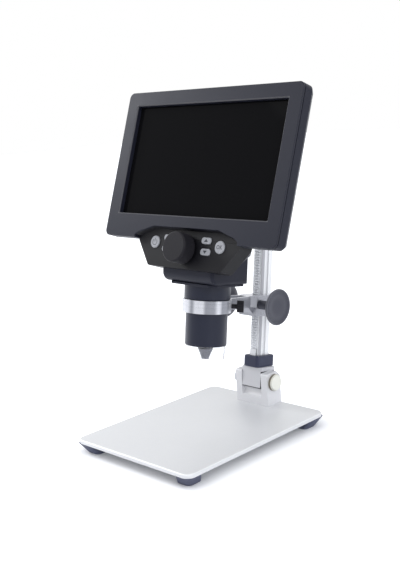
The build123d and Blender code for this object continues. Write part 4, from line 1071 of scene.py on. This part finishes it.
class Pattern(Graph):
    """A geometry tree with named inputs, and the way to a plain mesh from it."""

    kinds = {float: "NodeSocketFloat", int: "NodeSocketInt", type(None): "NodeSocketMaterial"}

    def __init__(self, name: str, inputs: dict[str, object]) -> None:
        """Start the tree.

        Args:
            name: The tree's name.
            inputs: Label and default of each input; a material has no default.
        """
        super().__init__(bpy.data.node_groups.new(name, "GeometryNodeTree"))
        face = self.tree.interface
        face.new_socket(name="Points", in_out="INPUT", socket_type="NodeSocketGeometry")
        self.identifiers: dict[str, str] = {}
        for label, default in inputs.items():
            kind = self.kinds[type(default)]
            socket = face.new_socket(name=label, in_out="INPUT", socket_type=kind)
            if default is not None:
                socket.default_value = default
            self.identifiers[label] = socket.identifier
        face.new_socket(name="Pieces", in_out="OUTPUT", socket_type="NodeSocketGeometry")
        self.given = self.add("NodeGroupInput").outputs

    def box(self, size: Socket, centre: Socket) -> Socket:
        """A box of a size about a centre."""
        return self.moved(self.out("GeometryNodeMeshCube", {"Size": size}), centre)

    def moved(self, geometry: Socket, shift: Socket, **turn: Socket) -> Socket:
        """A geometry moved and, with a Rotation, turned."""
        values = {"Geometry": geometry, "Translation": shift, **turn}
        return self.out("GeometryNodeTransform", values)

    def drum(self, top: object, bottom: object, high: object, low: object,
             sides: int = 40) -> Socket:
        """Add an upright drum or cone between two heights.

        Args:
            top: Radius at its top.
            bottom: Radius at its foot.
            high: Height of its top.
            low: Height of its foot.
            sides: Facets round it.

        Returns:
            The geometry's socket.
        """
        cone = self.out("GeometryNodeMeshCone", {
            "Vertices": sides, "Radius Top": top, "Radius Bottom": bottom,
            "Depth": self.math("SUBTRACT", high, low)}, fill_type="NGON")
        return self.moved(cone, self.vector(0.0, 0.0, low))

    def joined(self, *parts: Socket) -> Socket:
        """Join several geometries into one.

        Args:
            *parts: Their sockets.

        Returns:
            The geometry's socket.
        """
        node = self.add("GeometryNodeJoinGeometry")
        for part in parts:
            self.join(part, node.inputs["Geometry"])
        return node.outputs["Geometry"]

    def boolean(self, operation: str, values: dict, *tools: Socket) -> Socket:
        """Unite tools, or cut them out of the body given in the values.

        Args:
            operation: What is done with the tools.
            values: Values of the inputs by name.
            *tools: The tools' sockets.

        Returns:
            The geometry's socket.
        """
        node = self.add("GeometryNodeMeshBoolean", values, operation=operation)
        for tool in tools:
            self.join(tool, node.inputs["Mesh 2"])
        return node.outputs["Mesh"]

    def painted(self, geometry: Socket, label: str) -> Socket:
        """A geometry with the material of one of the inputs."""
        values = {"Geometry": geometry, "Material": self.given[label]}
        return self.out("GeometryNodeSetMaterial", values)

    def repeated(self, points: Socket, part: Socket, **turn: Socket) -> Socket:
        """A part on each point as real geometry, with a Rotation also turned."""
        values = {"Points": points, "Instance": part, **turn}
        return self.real(self.out("GeometryNodeInstanceOnPoints", values))

    def real(self, geometry: Socket) -> Socket:
        """Geometry with its instances made real."""
        return self.out("GeometryNodeRealizeInstances", {"Geometry": geometry})

    def ends_in(self, geometry: Socket) -> None:
        """Send a geometry to the tree's output."""
        self.join(geometry, self.add("NodeGroupOutput").inputs[0])

    def make(self, name: str, points: Sequence[Point], place: Matrix,
             values: dict[str, object]) -> bpy.types.Object:
        """Run the tree and keep its result as a plain mesh.

        Args:
            name: The piece's name.
            points: The points that the tree starts from.
            place: Matrix from the tree's own place to the model's frame.
            values: Values of the tree's inputs by label.

        Returns:
            The piece, at the origin.
        """
        start = bpy.data.meshes.new(name)
        start.from_pydata(points, [], [])
        piece = linked(name, start)
        modifier = configured(piece.modifiers.new(name, "NODES"), node_group=self.tree)
        for label, value in values.items():
            modifier[self.identifiers[label]] = value
        depsgraph = bpy.context.evaluated_depsgraph_get()
        made = bpy.data.meshes.new_from_object(piece.evaluated_get(depsgraph), depsgraph=depsgraph)
        piece.modifiers.clear()
        piece.data = made
        bpy.data.meshes.remove(start)
        made.name = name
        made.transform(place)
        return piece


class ScrewPattern(Pattern):
    """Screws with a driver recess, one at each point, their heads facing up."""

    slot_share = 0.24  # width of a cross recess's slot, as a share of its length
    hex_share = 0.577  # radius round a hexagon, as a share of its width across the flats

    def __init__(self, recess: Recess) -> None:
        """Build the tree.

        Args:
            recess: Shape of the driver recess.
        """
        sizes = dict.fromkeys(Screw.labels(), 0.0)
        super().__init__(f"screws_{recess.name.lower()}", {**sizes, "Seed": 1, "Metal": None})
        radius, neck, height, shank, length, _, _, edge = [self.given[label] for label in sizes]
        drop = self.times(height, -1.0)
        crown = self.times(edge, -1.0)
        head = self.drum(self.math("SUBTRACT", radius, edge), radius, 0.0, crown)
        body = self.drum(radius, neck, crown, drop)
        stem = self.drum(shank, shank, drop, self.math("SUBTRACT", drop, length), 24)
        whole = self.boolean("UNION", {}, head, body, stem)
        screw = self.boolean("DIFFERENCE", {"Mesh 1": whole}, *self._driver(recess))
        spin = self.out("FunctionNodeRandomValue", {2: 0.0, 3: pi, "Seed": self.given["Seed"]}, 1,
                        data_type="FLOAT")
        rows = self.repeated(self.given["Points"], screw, Rotation=self.vector(0.0, 0.0, spin))
        self.ends_in(self.painted(rows, "Metal"))

    def _driver(self, recess: Recess) -> list[Socket]:
        """Make the tools that cut the driver recess.

        Args:
            recess: Its shape.

        Returns:
            The tools' sockets.
        """
        wide, depth = self.given["Recess Width"], self.given["Recess Depth"]
        if recess is Recess.HEX:
            radius = self.times(wide, self.hex_share)
            return [self.drum(radius, radius, depth, self.times(depth, -1.0), 6)]
        narrow, deep = self.times(wide, self.slot_share), self.times(depth, 2.0)
        middle = self.vector(0.0, 0.0, 0.0)
        return [self.box(self.vector(*sides, deep), middle) for sides in ((wide, narrow), (narrow, wide))]


class ToothedBarPattern(Pattern):
    """A bar with rack teeth on its front; z runs along it and -y out of its face."""

    lengths = ("Pitch", "First Tooth", "Face Width", "Tooth Depth", "Tip Width", "Root Width",
               "Root Face", "Back", "Low End", "High End", "Blank Top")
    sunk = 0.05 * MM  # how far a tooth's root reaches into the bar

    def __init__(self) -> None:
        """Build the tree."""
        super().__init__("toothed_bar", {"Teeth": 1, **dict.fromkeys(self.lengths, 0.0), "Metal": None})
        given = self.given
        tooth = self._tooth()
        line = self.out("GeometryNodeMeshLine", {
            "Count": given["Teeth"],
            "Start Location": self.vector(0.0, given["Root Face"], given["First Tooth"]),
            "Offset": self.vector(0.0, 0.0, given["Pitch"])}, mode="OFFSET")
        teeth = self.repeated(line, tooth)
        bar = self._bar(given["High End"], given["Root Face"])
        tip = self.math("SUBTRACT", given["Root Face"], given["Tooth Depth"])
        whole = self.joined(bar, teeth, self._bar(given["Blank Top"], tip))
        self.ends_in(self.painted(self.real(whole), "Metal"))

    def _bar(self, high: Socket, front: Socket) -> Socket:
        """A plain stretch of the bar from its low end up, with its front face's place.

        Args:
            high: Height of its top.
            front: Place of its front face.

        Returns:
            The geometry's socket.
        """
        spans = ((self.given["Back"], front), (high, self.given["Low End"]))
        size = [self.math("SUBTRACT", *span) for span in spans]
        middle = [self.times(self.math("ADD", *span), 0.5) for span in spans]
        return self.box(self.vector(self.given["Face Width"], *size), self.vector(0.0, *middle))

    def _tooth(self) -> Socket:
        """Make one tooth, a prism with sloping flanks that is sunk a little into the bar.

        Returns:
            The geometry's socket.
        """
        given = self.given
        out = self.times(given["Tooth Depth"], -1.0)
        half_tip, half_root = self.times(given["Tip Width"], 0.5), self.times(given["Root Width"], 0.5)
        corners = [(half_root, self.sunk), (half_tip, out), (self.times(half_tip, -1.0), out),
                   (self.times(half_root, -1.0), self.sunk)]
        outline = self.out("GeometryNodeCurvePrimitiveQuadrilateral", {
            f"Point {index}": self.vector(along, depth, 0.0)
            for index, (along, depth) in enumerate(corners, 1)}, mode="POINTS")
        face = self.out("GeometryNodeFillCurve", {"Curve": outline}, mode="NGONS")
        push = {"Mesh": face, "Offset": self.vector(0.0, 0.0, given["Face Width"]), "Offset Scale": 1.0}
        pull = self.out("GeometryNodeExtrudeMesh", push, mode="FACES")
        back = self.out("GeometryNodeFlipFaces", {"Mesh": face})
        merged = self.out("GeometryNodeMergeByDistance", {
            "Geometry": self.joined(pull, back), "Distance": 1e-7})
        half = self.times(given["Face Width"], -0.5)
        centred = self.moved(merged, self.vector(0.0, 0.0, half))
        upright = self.vector(0.0, -pi / 2, 0.0)
        return self.moved(centred, self.vector(0.0, 0.0, 0.0), Rotation=upright)


class ChipPattern(Pattern):
    """Small packages on a board that face its middle, each with a round window on top."""

    lengths = ("Length", "Width", "Height", "Window Radius", "Window Rise")

    def __init__(self) -> None:
        """Build the tree."""
        sizes = dict.fromkeys(self.lengths, 0.0)
        super().__init__("board_chips", {**sizes, "Case": None, "Window": None})
        length, width, height, radius, rise = [self.given[label] for label in sizes]
        case = self.box(self.vector(length, width, height),
                        self.vector(0.0, 0.0, self.times(height, 0.5)))
        window = self.drum(self.times(radius, 0.86), radius, self.math("ADD", height, rise),
                           self.times(height, 0.6), 28)
        chip = self.joined(self.painted(case, "Case"), self.painted(window, "Window"))
        x, y, _ = self.split(self.out("GeometryNodeInputPosition"))
        facing = self.vector(0.0, 0.0, self.math("ARCTAN2", y, x))
        self.ends_in(self.repeated(self.given["Points"], chip, Rotation=facing))


# ---------------- the workshop


@dataclass
class Workshop:
    """What every assembly works with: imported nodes, places, finishes and patterns."""

    nodes: dict[str, bpy.types.Object]
    layout: Layout
    palette: Palette
    edges: EdgeFinish = field(default_factory=EdgeFinish)
    screws: dict[Recess, ScrewPattern] = field(
        default_factory=lambda: {recess: ScrewPattern(recess) for recess in Recess})
    toothed_bar: ToothedBarPattern = field(default_factory=ToothedBarPattern)
    chips: ChipPattern = field(default_factory=ChipPattern)

    def dress(self, finish: str, rounding: float, *names: str, segments: int = 2) -> None:
        """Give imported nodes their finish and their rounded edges.

        Args:
            finish: The finish's name.
            rounding: Radius of their rounded edges in millimetres, or 0 for none.
            names: The nodes' names.
            segments: Facets across each rounded edge.
        """
        for name in names:
            piece = self.nodes[name]
            self.paint(piece, finish)
            self.edges.apply(piece, rounding * MM, segments)
            log.info("%s: %s", name, finish)

    def paint(self, piece: bpy.types.Object, finish: str) -> None:
        """Put one finish on the whole of a piece.

        Args:
            piece: The piece.
            finish: The finish's name in the palette.
        """
        if not piece.material_slots:
            piece.data.materials.append(None)
        for slot in piece.material_slots:
            slot.material = self.palette[finish]

    def fit(self, piece: bpy.types.Object, body: str, slot: str, node: str = "") -> None:
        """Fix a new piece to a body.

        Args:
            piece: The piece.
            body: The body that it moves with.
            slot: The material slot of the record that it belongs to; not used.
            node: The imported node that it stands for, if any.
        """
        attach(piece, body)
        if node:
            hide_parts(node)
        log.info("%s: new piece on %s", piece.name, body)

    def drive(self, node: str, body: str, points: Sequence[Point], place: Matrix, screw: Screw,
              seed: int, recess: Recess = Recess.CROSS) -> None:
        """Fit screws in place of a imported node.

        Args:
            node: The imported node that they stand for.
            body: The body that they move with.
            points: Their places.
            place: Matrix from the points to the model's frame, its third axis out of their heads.
            screw: Their sizes.
            seed: Start of their random turns.
            recess: Shape of their driver recess.
        """
        values = {label: getattr(screw, name) * MM for label, name in Screw.labels().items()}
        values.update({"Seed": seed, "Metal": self.palette["screw_zinc"]})
        piece = self.screws[recess].make(f"{node}_driven", points, place, values)
        self.fit(piece, body, "steel", node)


# ---------------- base and stand


@dataclass
class Base:
    """The plate on its four feet, with the tilt hinge's bracket and bolt."""

    shop: Workshop
    foot_screw_place: Pair = (51.3 * MM, 67.4 * MM)
    foot_screw_face: float = 2.0 * MM
    foot_screw: Screw = Screw(head_radius=2.8, neck_radius=2.8, head_height=2.0, shank_radius=1.5,
                              shank_length=6.2, recess_width=3.2, recess_depth=1.3, edge=0.5)
    bracket_screw_place: Pair = (13.6 * MM, 4.0 * MM)
    bracket_behind: float = 68.6 * MM
    bracket_screw: Screw = Screw(head_radius=2.9, neck_radius=1.5, head_height=1.4, shank_radius=1.5,
                                 shank_length=9.6, recess_width=3.0, recess_depth=1.1, edge=0.04)

    def build(self) -> None:
        """Dress the base and fit its screws."""
        dress = self.shop.dress
        dress("plate_satin_silver", 0.0, "base_plate")
        feet = [f"foot_{end}_{side}" for end in ("front", "rear") for side in ("left", "right")]
        dress("foot_rubber_navy", 0.5, *feet)
        dress("bracket_blasted_silver", 0.35, "hinge_bracket")
        dress("bolt_turned_steel", 0.25, "hinge_bolt")
        dress("screw_zinc", 0.12, "hinge_washer")
        dress("screw_zinc", 0.3, "hinge_nut")
        low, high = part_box("base_plate")
        middle = (low + high) / 2
        upward = Matrix.Rotation(pi, 4, "Y")
        for node, place, behind, face, screw, seed in (
                ("foot_screws", self.foot_screw_place, 0.0, self.foot_screw_face, self.foot_screw, 3),
                ("bracket_screws", self.bracket_screw_place, self.bracket_behind, low.z,
                 self.bracket_screw, 8)):
            points = [(sx * place[0], behind + sy * place[1], 0.0) for sx in (-1, 1) for sy in (-1, 1)]
            outer = Matrix.Translation((middle.x, middle.y, face)) @ upward
            self.shop.drive(node, "base", points, outer, screw, seed)


@dataclass
class Stand:
    """The pivot block, the pole with its collar and cap, and the cut rack."""

    shop: Workshop
    pitch: float = pi * 0.7 * MM
    mesh_height: float = 64.1 * MM
    lowest: float = 25.5 * MM
    highest: float = 183.0 * MM
    root_face: float = -7.0 * MM
    tooth_depth: float = 1.575 * MM
    tip_width: float = 0.54 * MM
    root_width: float = 1.686 * MM
    back: float = -4.6 * MM
    width: float = 5.0 * MM
    low_end: float = 20.8 * MM
    high_end: float = 187.0 * MM
    blank_gap: float = 0.5 * MM

    def build(self) -> None:
        """Dress the stand and cut the rack's teeth."""
        shop = self.shop
        shop.dress("tongue_blasted_silver", 0.5, "pivot_block")
        shop.dress("collar_plastic_navy", 0.25, "pole_collar")
        shop.dress("pole_drawn_silver", 0.12, "pole")
        shop.dress("collar_plastic_navy", 0.5, "pole_cap")
        shop.fit(self._rack(), "stand", "ring_aluminium", "rack")

    def _rack(self) -> bpy.types.Object:
        """Make the toothed bar that is pressed into the pole's groove.

        Returns:
            The bar.
        """
        half = self.pitch / 2
        below = int((self.mesh_height - half - self.lowest) / self.pitch + 0.5)
        first = self.mesh_height - (below - 0.5) * self.pitch
        count = int((self.highest - half - first) / self.pitch) + 1
        log.info("rack: %d teeth from %.2f mm", count, first / MM)
        sizes = (self.pitch, first, self.width, self.tooth_depth, self.tip_width, self.root_width,
                 self.root_face, self.back, self.low_end, self.high_end,
                 first - self.root_width / 2 - self.blank_gap)
        values = dict(zip(ToothedBarPattern.lengths, sizes))
        values.update({"Teeth": count, "Metal": self.shop.palette["rack_cut_silver"]})
        return self.shop.toothed_bar.make(
            "rack_toothed", [(0.0, 0.0, 0.0)], self.shop.layout.stand.matrix, values)


@dataclass
class Slider:
    """The arm with its ring, its bush and pad, the height knobs and the clamp."""

    shop: Workshop
    grub_heights: Pair = (59.5 * MM, 65.9 * MM)
    grub_face: float = 11.1 * MM
    grub_screw: Screw = Screw(head_radius=1.5, neck_radius=1.5, head_height=0.4, shank_radius=1.5,
                              shank_length=2.4, recess_width=1.5, recess_depth=1.0, edge=0.15)

    def build(self) -> None:
        """Dress the slider and all that turns in it."""
        shop = self.shop
        shop.dress("arm_turned_silver", 0.3, "slider_arm")
        shop.dress("nylon_black", 0.15, "pinion_bush")
        shop.dress("nylon_black", 0.2, "slide_pad")
        shop.dress("bolt_turned_steel", 0.0, "pinion_shaft")
        shop.dress("knob_plastic_grey", 0.3, "height_knob_left", "height_knob_right")
        shop.dress("knob_plastic_black", 0.1, "clamp_screw")
        shop.dress("knob_plastic_black", 0.25, "clamp_knob")
        outer = (shop.layout.stand.matrix @ Matrix.Translation((0.0, self.grub_face, 0.0))
                 @ Matrix.Rotation(-pi / 2, 4, "X"))
        points = [(0.0, -height, 0.0) for height in self.grub_heights]
        shop.drive("pad_screws", "slider", points, outer, self.grub_screw, 5, Recess.HEX)


# ---------------- the head


@dataclass(frozen=True)
class Row:
    """Equal blocks side by side along Y in the window's frame, in millimetres.

    Attributes:
        name: The piece's name.
        finish: Its finish.
        slot: The material slot that it belongs to.
        across: Its low and high along X.
        depth: Its low and high along Z.
        middle: Place along Y that the steps count from.
        half: Half of a block's width.
        rounding: Radius of the edges.
        pitch: Distance between two blocks.
        steps: Number of each block, counted from the middle.
    """

    name: str
    finish: str
    slot: str
    across: Pair
    depth: Pair
    middle: float
    half: float
    rounding: float
    pitch: float = 0.0
    steps: range = range(1)


@dataclass
class HeadDetails:
    """The display head's case, screen, boards and sockets."""

    shop: Workshop
    screw_places: tuple[Pair, ...] = ((83.4 * MM, 46.0 * MM), (83.4 * MM, -53.0 * MM))
    screw_face: float = -14.8 * MM
    screw: Screw = Screw(head_radius=2.4, neck_radius=2.4, head_height=1.8, shank_radius=1.0,
                         shank_length=9.4, recess_width=2.6, recess_depth=1.1, edge=0.5)
    rows: tuple[Row, ...] = (
        Row("usb_tongue", "nylon_black", "nylon", across=(-88.7, -84.5), depth=(-7.0, -6.4),
            middle=-20.0, half=2.7, rounding=0.12),
        Row("usb_contacts", "contact_gilt", "steel", across=(-88.5, -85.0), depth=(-7.06, -6.98),
            middle=-20.0, half=0.19, rounding=0.02, pitch=0.65, steps=range(-2, 3)),
        Row("card_contacts", "contact_gilt", "steel", across=(-87.2, -84.6), depth=(-7.94, -7.78),
            middle=4.0, half=0.3, rounding=0.03, pitch=1.1, steps=range(-4, 4)))

    def build(self) -> None:
        """Dress the head's nodes and fit its fine parts."""
        shop, window = self.shop, self.shop.layout.window
        shop.dress("case_front_charcoal", 0.22, "front_bezel")
        shop.dress("case_plastic_charcoal", 0.5, "rear_cover", segments=3)
        shop.dress("case_plastic_charcoal", 0.3, "camera_housing")
        shop.dress("case_plastic_charcoal", 0.25, "barrel_flange")
        shop.dress("screen_cover_glass", 0.0, "display_glass")
        shop.dress("panel_frame_black", 0.4, "lcd_panel")
        shop.dress("cell_foil_grey", 0.6, "battery")
        shop.dress("board_green", 0.05, "main_board", "key_board", "io_board", "sensor_board")
        shop.dress("nylon_black", 0.08, "key_switches", "image_sensor")
        shop.dress("screw_zinc", 0.0, "usb_socket", "card_socket")
        points = [(side * x, y, 0.0) for x, y in self.screw_places for side in (-1, 1)]
        outer = window @ Matrix.Translation((0.0, 0.0, self.screw_face)) @ Matrix.Rotation(pi, 4, "Y")
        shop.drive("case_screws", "head", points, outer, self.screw, 12)
        self._sockets()

    def _sockets(self) -> None:
        """Make the tongue and contacts of the power socket and the contacts of the card socket."""
        for row in self.rows:
            places = [row.middle + row.pitch * step for step in row.steps]
            spans = [(row.across, (place - row.half, place + row.half), row.depth) for place in places]
            piece = solid(row.name, boxes(spans, row.rounding), self.shop.layout.window)
            self.shop.paint(piece, row.finish)
            self.shop.fit(piece, "head", row.slot)


class Mark(Enum):
    """What is printed on a key."""

    POWER = "power"
    CONFIRM = "confirm"
    MENU = "menu"
    MODE = "mode"
    UP = "up"
    DOWN = "down"


@dataclass
class Keypad:
    """The six keys and the marks printed on their caps, with lengths in millimetres."""

    shop: Workshop
    cap_front: float = -4.2
    ink: float = 0.05
    sunk: float = 0.02
    line: float = 0.42
    arc_step: float = 12.0
    round_place: Pair = (34.2, -64.4)
    upper_place: Pair = (19.9, -60.4)
    lower_place: Pair = (20.5, -68.8)

    def build(self) -> None:
        """Dress the caps and print their marks."""
        for node, mark, side, (x, y) in (
                ("power_button", Mark.POWER, -1, self.round_place),
                ("ok_button", Mark.CONFIRM, 1, self.round_place),
                ("menu_button", Mark.MENU, -1, self.upper_place),
                ("mode_button", Mark.MODE, -1, self.lower_place),
                ("up_button", Mark.UP, 1, self.upper_place),
                ("down_button", Mark.DOWN, 1, self.lower_place)):
            self._key(node, mark, side * x, y)

    def _key(self, node: str, mark: Mark, x: float, y: float) -> None:
        """Dress a cap and print its mark.

        Args:
            node: The cap's node.
            mark: The mark.
            x: The cap's place across the head.
            y: The cap's place above the window's middle.
        """
        self.shop.dress("key_silver_grey", 0.12, node)
        outlines = [[(px * MM, py * MM) for px, py in outline] for outline in self._outlines(mark)]
        form = flat_plates(outlines, -self.sunk * MM, self.ink * MM)
        shift = Matrix.Translation((x * MM, y * MM, self.cap_front * MM))
        piece = solid(f"{mark.value}_mark", form, self.shop.layout.window @ shift)
        self.shop.paint(piece, "mark_ink_dark")
        self.shop.fit(piece, f"{node}_cap", "key_plastic")

    def _outlines(self, mark: Mark) -> list[Outline]:
        """Draw a mark about the cap's middle.

        Args:
            mark: The mark.

        Returns:
            Its outlines.
        """
        bar, arc = self._bar, self._arc
        if mark is Mark.POWER:
            return [arc(0, -0.2, 2.3, 125, 415), bar(0, 0.2, 0, 2.7)]
        if mark is Mark.CONFIRM:
            return [arc(-1.45, 0, 1.25, 0, 180), arc(-1.45, 0, 1.25, 180, 360), bar(0.7, -1.4, 0.7, 1.4),
                    bar(0.95, 0.0, 2.25, 1.4), bar(0.95, 0.1, 2.35, -1.4)]
        if mark is Mark.MENU:
            return [bar(-1.3, y, 1.3, y) for y in (-0.9, 0.0, 0.9)]
        if mark is Mark.MODE:
            frame = [(-1.5, -0.95), (1.5, -0.95), (1.5, 0.95), (-1.5, 0.95)]
            sides = [bar(*frame[i], *frame[(i + 1) % 4]) for i in range(4)]
            return [*sides, arc(0, 0, 0.3, 0, 180), arc(0, 0, 0.3, 180, 360)]
        up = [(-2.0, -1.0), (2.0, -1.0), (0.0, 1.35)]
        return [up] if mark is Mark.UP else [[(x, -y) for x, y in reversed(up)]]

    def _bar(self, x0: float, y0: float, x1: float, y1: float) -> Outline:
        """A straight stroke between two points.

        Args:
            x0: Where it starts.
            y0: Where it starts.
            x1: Where it ends.
            y1: Where it ends.

        Returns:
            The stroke's corners.
        """
        along = Vector((x1 - x0, y1 - y0)).normalized() * self.line / 2
        side = Vector((-along.y, along.x))
        start, end = Vector((x0, y0)) - along * 0.5, Vector((x1, y1)) + along * 0.5
        return [tuple(start - side), tuple(end - side), tuple(end + side), tuple(start + side)]

    def _arc(self, x: float, y: float, radius: float, start: float, end: float) -> Outline:
        """A curved stroke about a point, between two angles in degrees.

        Args:
            x: Place of the point.
            y: Place of the point.
            radius: From the point to its middle line.
            start: Where it starts.
            end: Where it ends.

        Returns:
            The stroke's corners.
        """
        steps = max(6, int((end - start) / self.arc_step))
        angles = [radians(start + (end - start) * step / steps) for step in range(steps + 1)]
        outer, inner = radius + self.line / 2, radius - self.line / 2
        return ([(x + outer * cos(angle), y + outer * sin(angle)) for angle in angles]
                + [(x + inner * cos(angle), y + inner * sin(angle)) for angle in reversed(angles)])


@dataclass
class Optics:
    """The barrel, its clear hood, the ring light, the lens carriage and the focus knob."""

    shop: Workshop
    barrel_reach: float = 64.8 * MM
    lamp_circle: float = 11.0 * MM
    lamp_count: int = 8
    lamp_seat: float = 39.0 * MM
    lamp_sizes: tuple[float, ...] = (3.0 * MM, 2.8 * MM, 1.1 * MM, 1.15 * MM, 0.12 * MM)

    def build(self) -> None:
        """Dress the optics and fit the ring light's lamps."""
        shop = self.shop
        shop.dress("barrel_satin_navy", 0.0, "barrel")
        shop.dress("barrel_satin_navy", 0.3, "barrel_collar")
        shop.dress("hood_clear_plastic", 0.0, "hood")
        shop.dress("board_white", 0.0, "led_board")
        shop.dress("barrel_satin_navy", 0.0, "lens_carriage")
        shop.dress("cone_satin_grey", 0.0, "lens_cone")
        shop.dress("lens_coated_glass", 0.2, "front_lens", "field_lens")
        shop.dress("screw_zinc", 0.0, "focus_shaft")
        shop.dress("knob_plastic_black", 0.25, "focus_knob")
        self._lamps()

    def _lamps(self) -> None:
        """Fit the lamps under their board, each square to the barrel's axis."""
        angles = [2 * pi * index / self.lamp_count for index in range(self.lamp_count)]
        points = [(self.lamp_circle * cos(angle), self.lamp_circle * sin(angle), 0.0)
                  for angle in angles]
        seat = Matrix.Translation((0.0, -self.barrel_reach, self.lamp_seat))
        outer = self.shop.layout.stand.matrix @ seat @ Matrix.Rotation(pi, 4, "Y")
        values = dict(zip(ChipPattern.lengths, self.lamp_sizes))
        values.update({"Case": self.shop.palette["lamp_housing_white"],
                       "Window": self.shop.palette["lamp_phosphor"]})
        lamps = self.shop.chips.make("ring_light_lamps", points, outer, values)
        self.shop.fit(lamps, "head", "led_white", "leds")


# ---------------- studio


@dataclass
class Studio:
    """Pale floor, white surroundings, soft lamps and the camera."""

    eye_from_plate: Point = (484.902 * MM, -478.054 * MM, 252.513 * MM)
    azimuth: float = 44.937
    elevation: float = 11.677
    roll: float = -3.904
    focal_length: float = 57.81
    sensor_width: float = 36.0
    far_clip: float = 50.0
    floor_size: float = 8.0
    contact_reach: float = 0.05
    object_middle: float = 0.15

    def build(self) -> None:
        """Set the studio up."""
        bpy.context.scene.view_settings.view_transform = "Standard"
        self._floor()
        self._surroundings()
        broad, medium = {"angle": radians(60.0)}, {"angle": radians(50.0)}
        self._lamp("left", "SUN", (-0.5, -1.0, 1.6), 0.65, (1.0, 0.99, 0.97), **broad)
        self._lamp("right", "SUN", (1.3, -0.25, 0.9), 1.3, (0.96, 0.98, 1.0), **broad)
        self._lamp("back", "SUN", (0.2, 1.2, 1.0), 0.3, (1.0, 1.0, 1.0), **medium)
        self._lamp("key", "AREA", (-0.85, -0.16, 0.55), 4.2, (0.97, 0.985, 1.0),
                   aim=self.object_middle, size=0.26)
        self._camera()

    def _floor(self) -> None:
        """Lay a pale floor that shows white to the eye and keeps the shadow."""
        half = self.floor_size / 2
        corners = ((-half, -half), (half, -half), (half, half), (-half, half))
        form = bmesh.new()
        form.faces.new([form.verts.new((x, y, 0.0)) for x, y in corners])
        floor = solid("floor", form, Matrix.Identity(4))
        material = bpy.data.materials.new("pale_paper_floor")
        material.use_nodes = True
        graph = Graph(material.node_tree)
        grain = graph.noise(graph.place(), 240.0, 3.0)
        sky = graph.out("ShaderNodeAmbientOcclusion", {"Distance": self.contact_reach}, "AO", samples=8)
        clear = graph.math("POWER", sky, 2.0)
        graph.fill(material.node_tree.nodes["Principled BSDF"], {
            "Base Color": graph.blend(grain, (0.92, 0.92, 0.93), (0.94, 0.94, 0.95)),
            "Roughness": 0.85, "Specular IOR Level": 0.1,
            "Emission Color": (0.96, 0.975, 1.0, 1.0),
            "Emission Strength": graph.times(graph.times(self._seen(graph), 0.5), clear)})
        floor.data.materials.append(material)

    @staticmethod
    def _seen(graph: Graph) -> Socket:
        """1 for rays from the eye, from gloss and through glass, otherwise 0.

        Args:
            graph: The material's graph.

        Returns:
            The share's socket.
        """
        path = graph.add("ShaderNodeLightPath").outputs
        gloss = graph.math("MAXIMUM", path["Is Glossy Ray"], path["Is Transmission Ray"])
        return graph.math("MAXIMUM", path["Is Camera Ray"], gloss)

    def _surroundings(self) -> None:
        """Light the object evenly and show white all round it."""
        world = bpy.data.worlds.new("white_studio")
        world.use_nodes = True
        bpy.context.scene.world = world
        graph = Graph(world.node_tree)
        tone = graph.blend(self._seen(graph), (0.40, 0.415, 0.45), (1.0, 1.0, 1.0))
        graph.fill(world.node_tree.nodes["Background"], {"Color": tone})

    @staticmethod
    def _lamp(name: str, kind: str, place: Point, strength: float, colour: Colour,
              aim: float = 0.0, **settings: float) -> None:
        """Add a lamp that faces a point on the object's upright axis.

        Args:
            name: The lamp's name.
            kind: SUN for a broad, far lamp or AREA for a near soft box.
            place: Its place, which gives a far lamp only its direction.
            strength: Its strength, or its power in watts.
            colour: Its colour.
            aim: Height of the point that it faces.
            settings: The angle that a far lamp fills, or the side of a soft box.
        """
        data = configured(bpy.data.lights.new(name, kind), energy=strength, color=colour, **settings)
        toward = Vector(place) - Vector((0.0, 0.0, aim))
        configured(linked(name, data), location=place,
                   rotation_euler=toward.to_track_quat("Z", "Y").to_euler())

    def _camera(self) -> None:
        """Put the camera at the front right, a little above the plate."""
        azimuth, elevation, roll = radians(self.azimuth), radians(self.elevation), radians(self.roll)
        ahead = Vector((-sin(azimuth) * cos(elevation), cos(azimuth) * cos(elevation), -sin(elevation)))
        right = Vector((cos(azimuth), sin(azimuth), 0.0))
        up = right.cross(ahead)
        right, up = cos(roll) * right + sin(roll) * up, cos(roll) * up - sin(roll) * right
        camera = linked("camera", configured(
            bpy.data.cameras.new("camera"), lens=self.focal_length, sensor_width=self.sensor_width,
            clip_end=self.far_clip))
        low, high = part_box("base_plate")
        plate = Vector(((low.x + high.x) / 2, (low.y + high.y) / 2, high.z))
        turned = Matrix((right, up, -ahead)).transposed().to_4x4()
        camera.matrix_world = Matrix.Translation(plate + Vector(self.eye_from_plate)) @ turned
        bpy.context.scene.camera = camera


# ---------------- main


def main() -> None:
    """Build the microscope's looks and its studio."""
    logging.basicConfig(level=logging.INFO, format="%(name)s: %(message)s")
    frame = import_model()
    layout = Layout.read(frame["joints"])
    shop = Workshop(frame["nodes"], layout, Palette(layout))
    for assembly in (Base, Stand, Slider, HeadDetails, Keypad, Optics):
        assembly(shop).build()
    Studio().build()


if __name__ == "__main__":
    main()
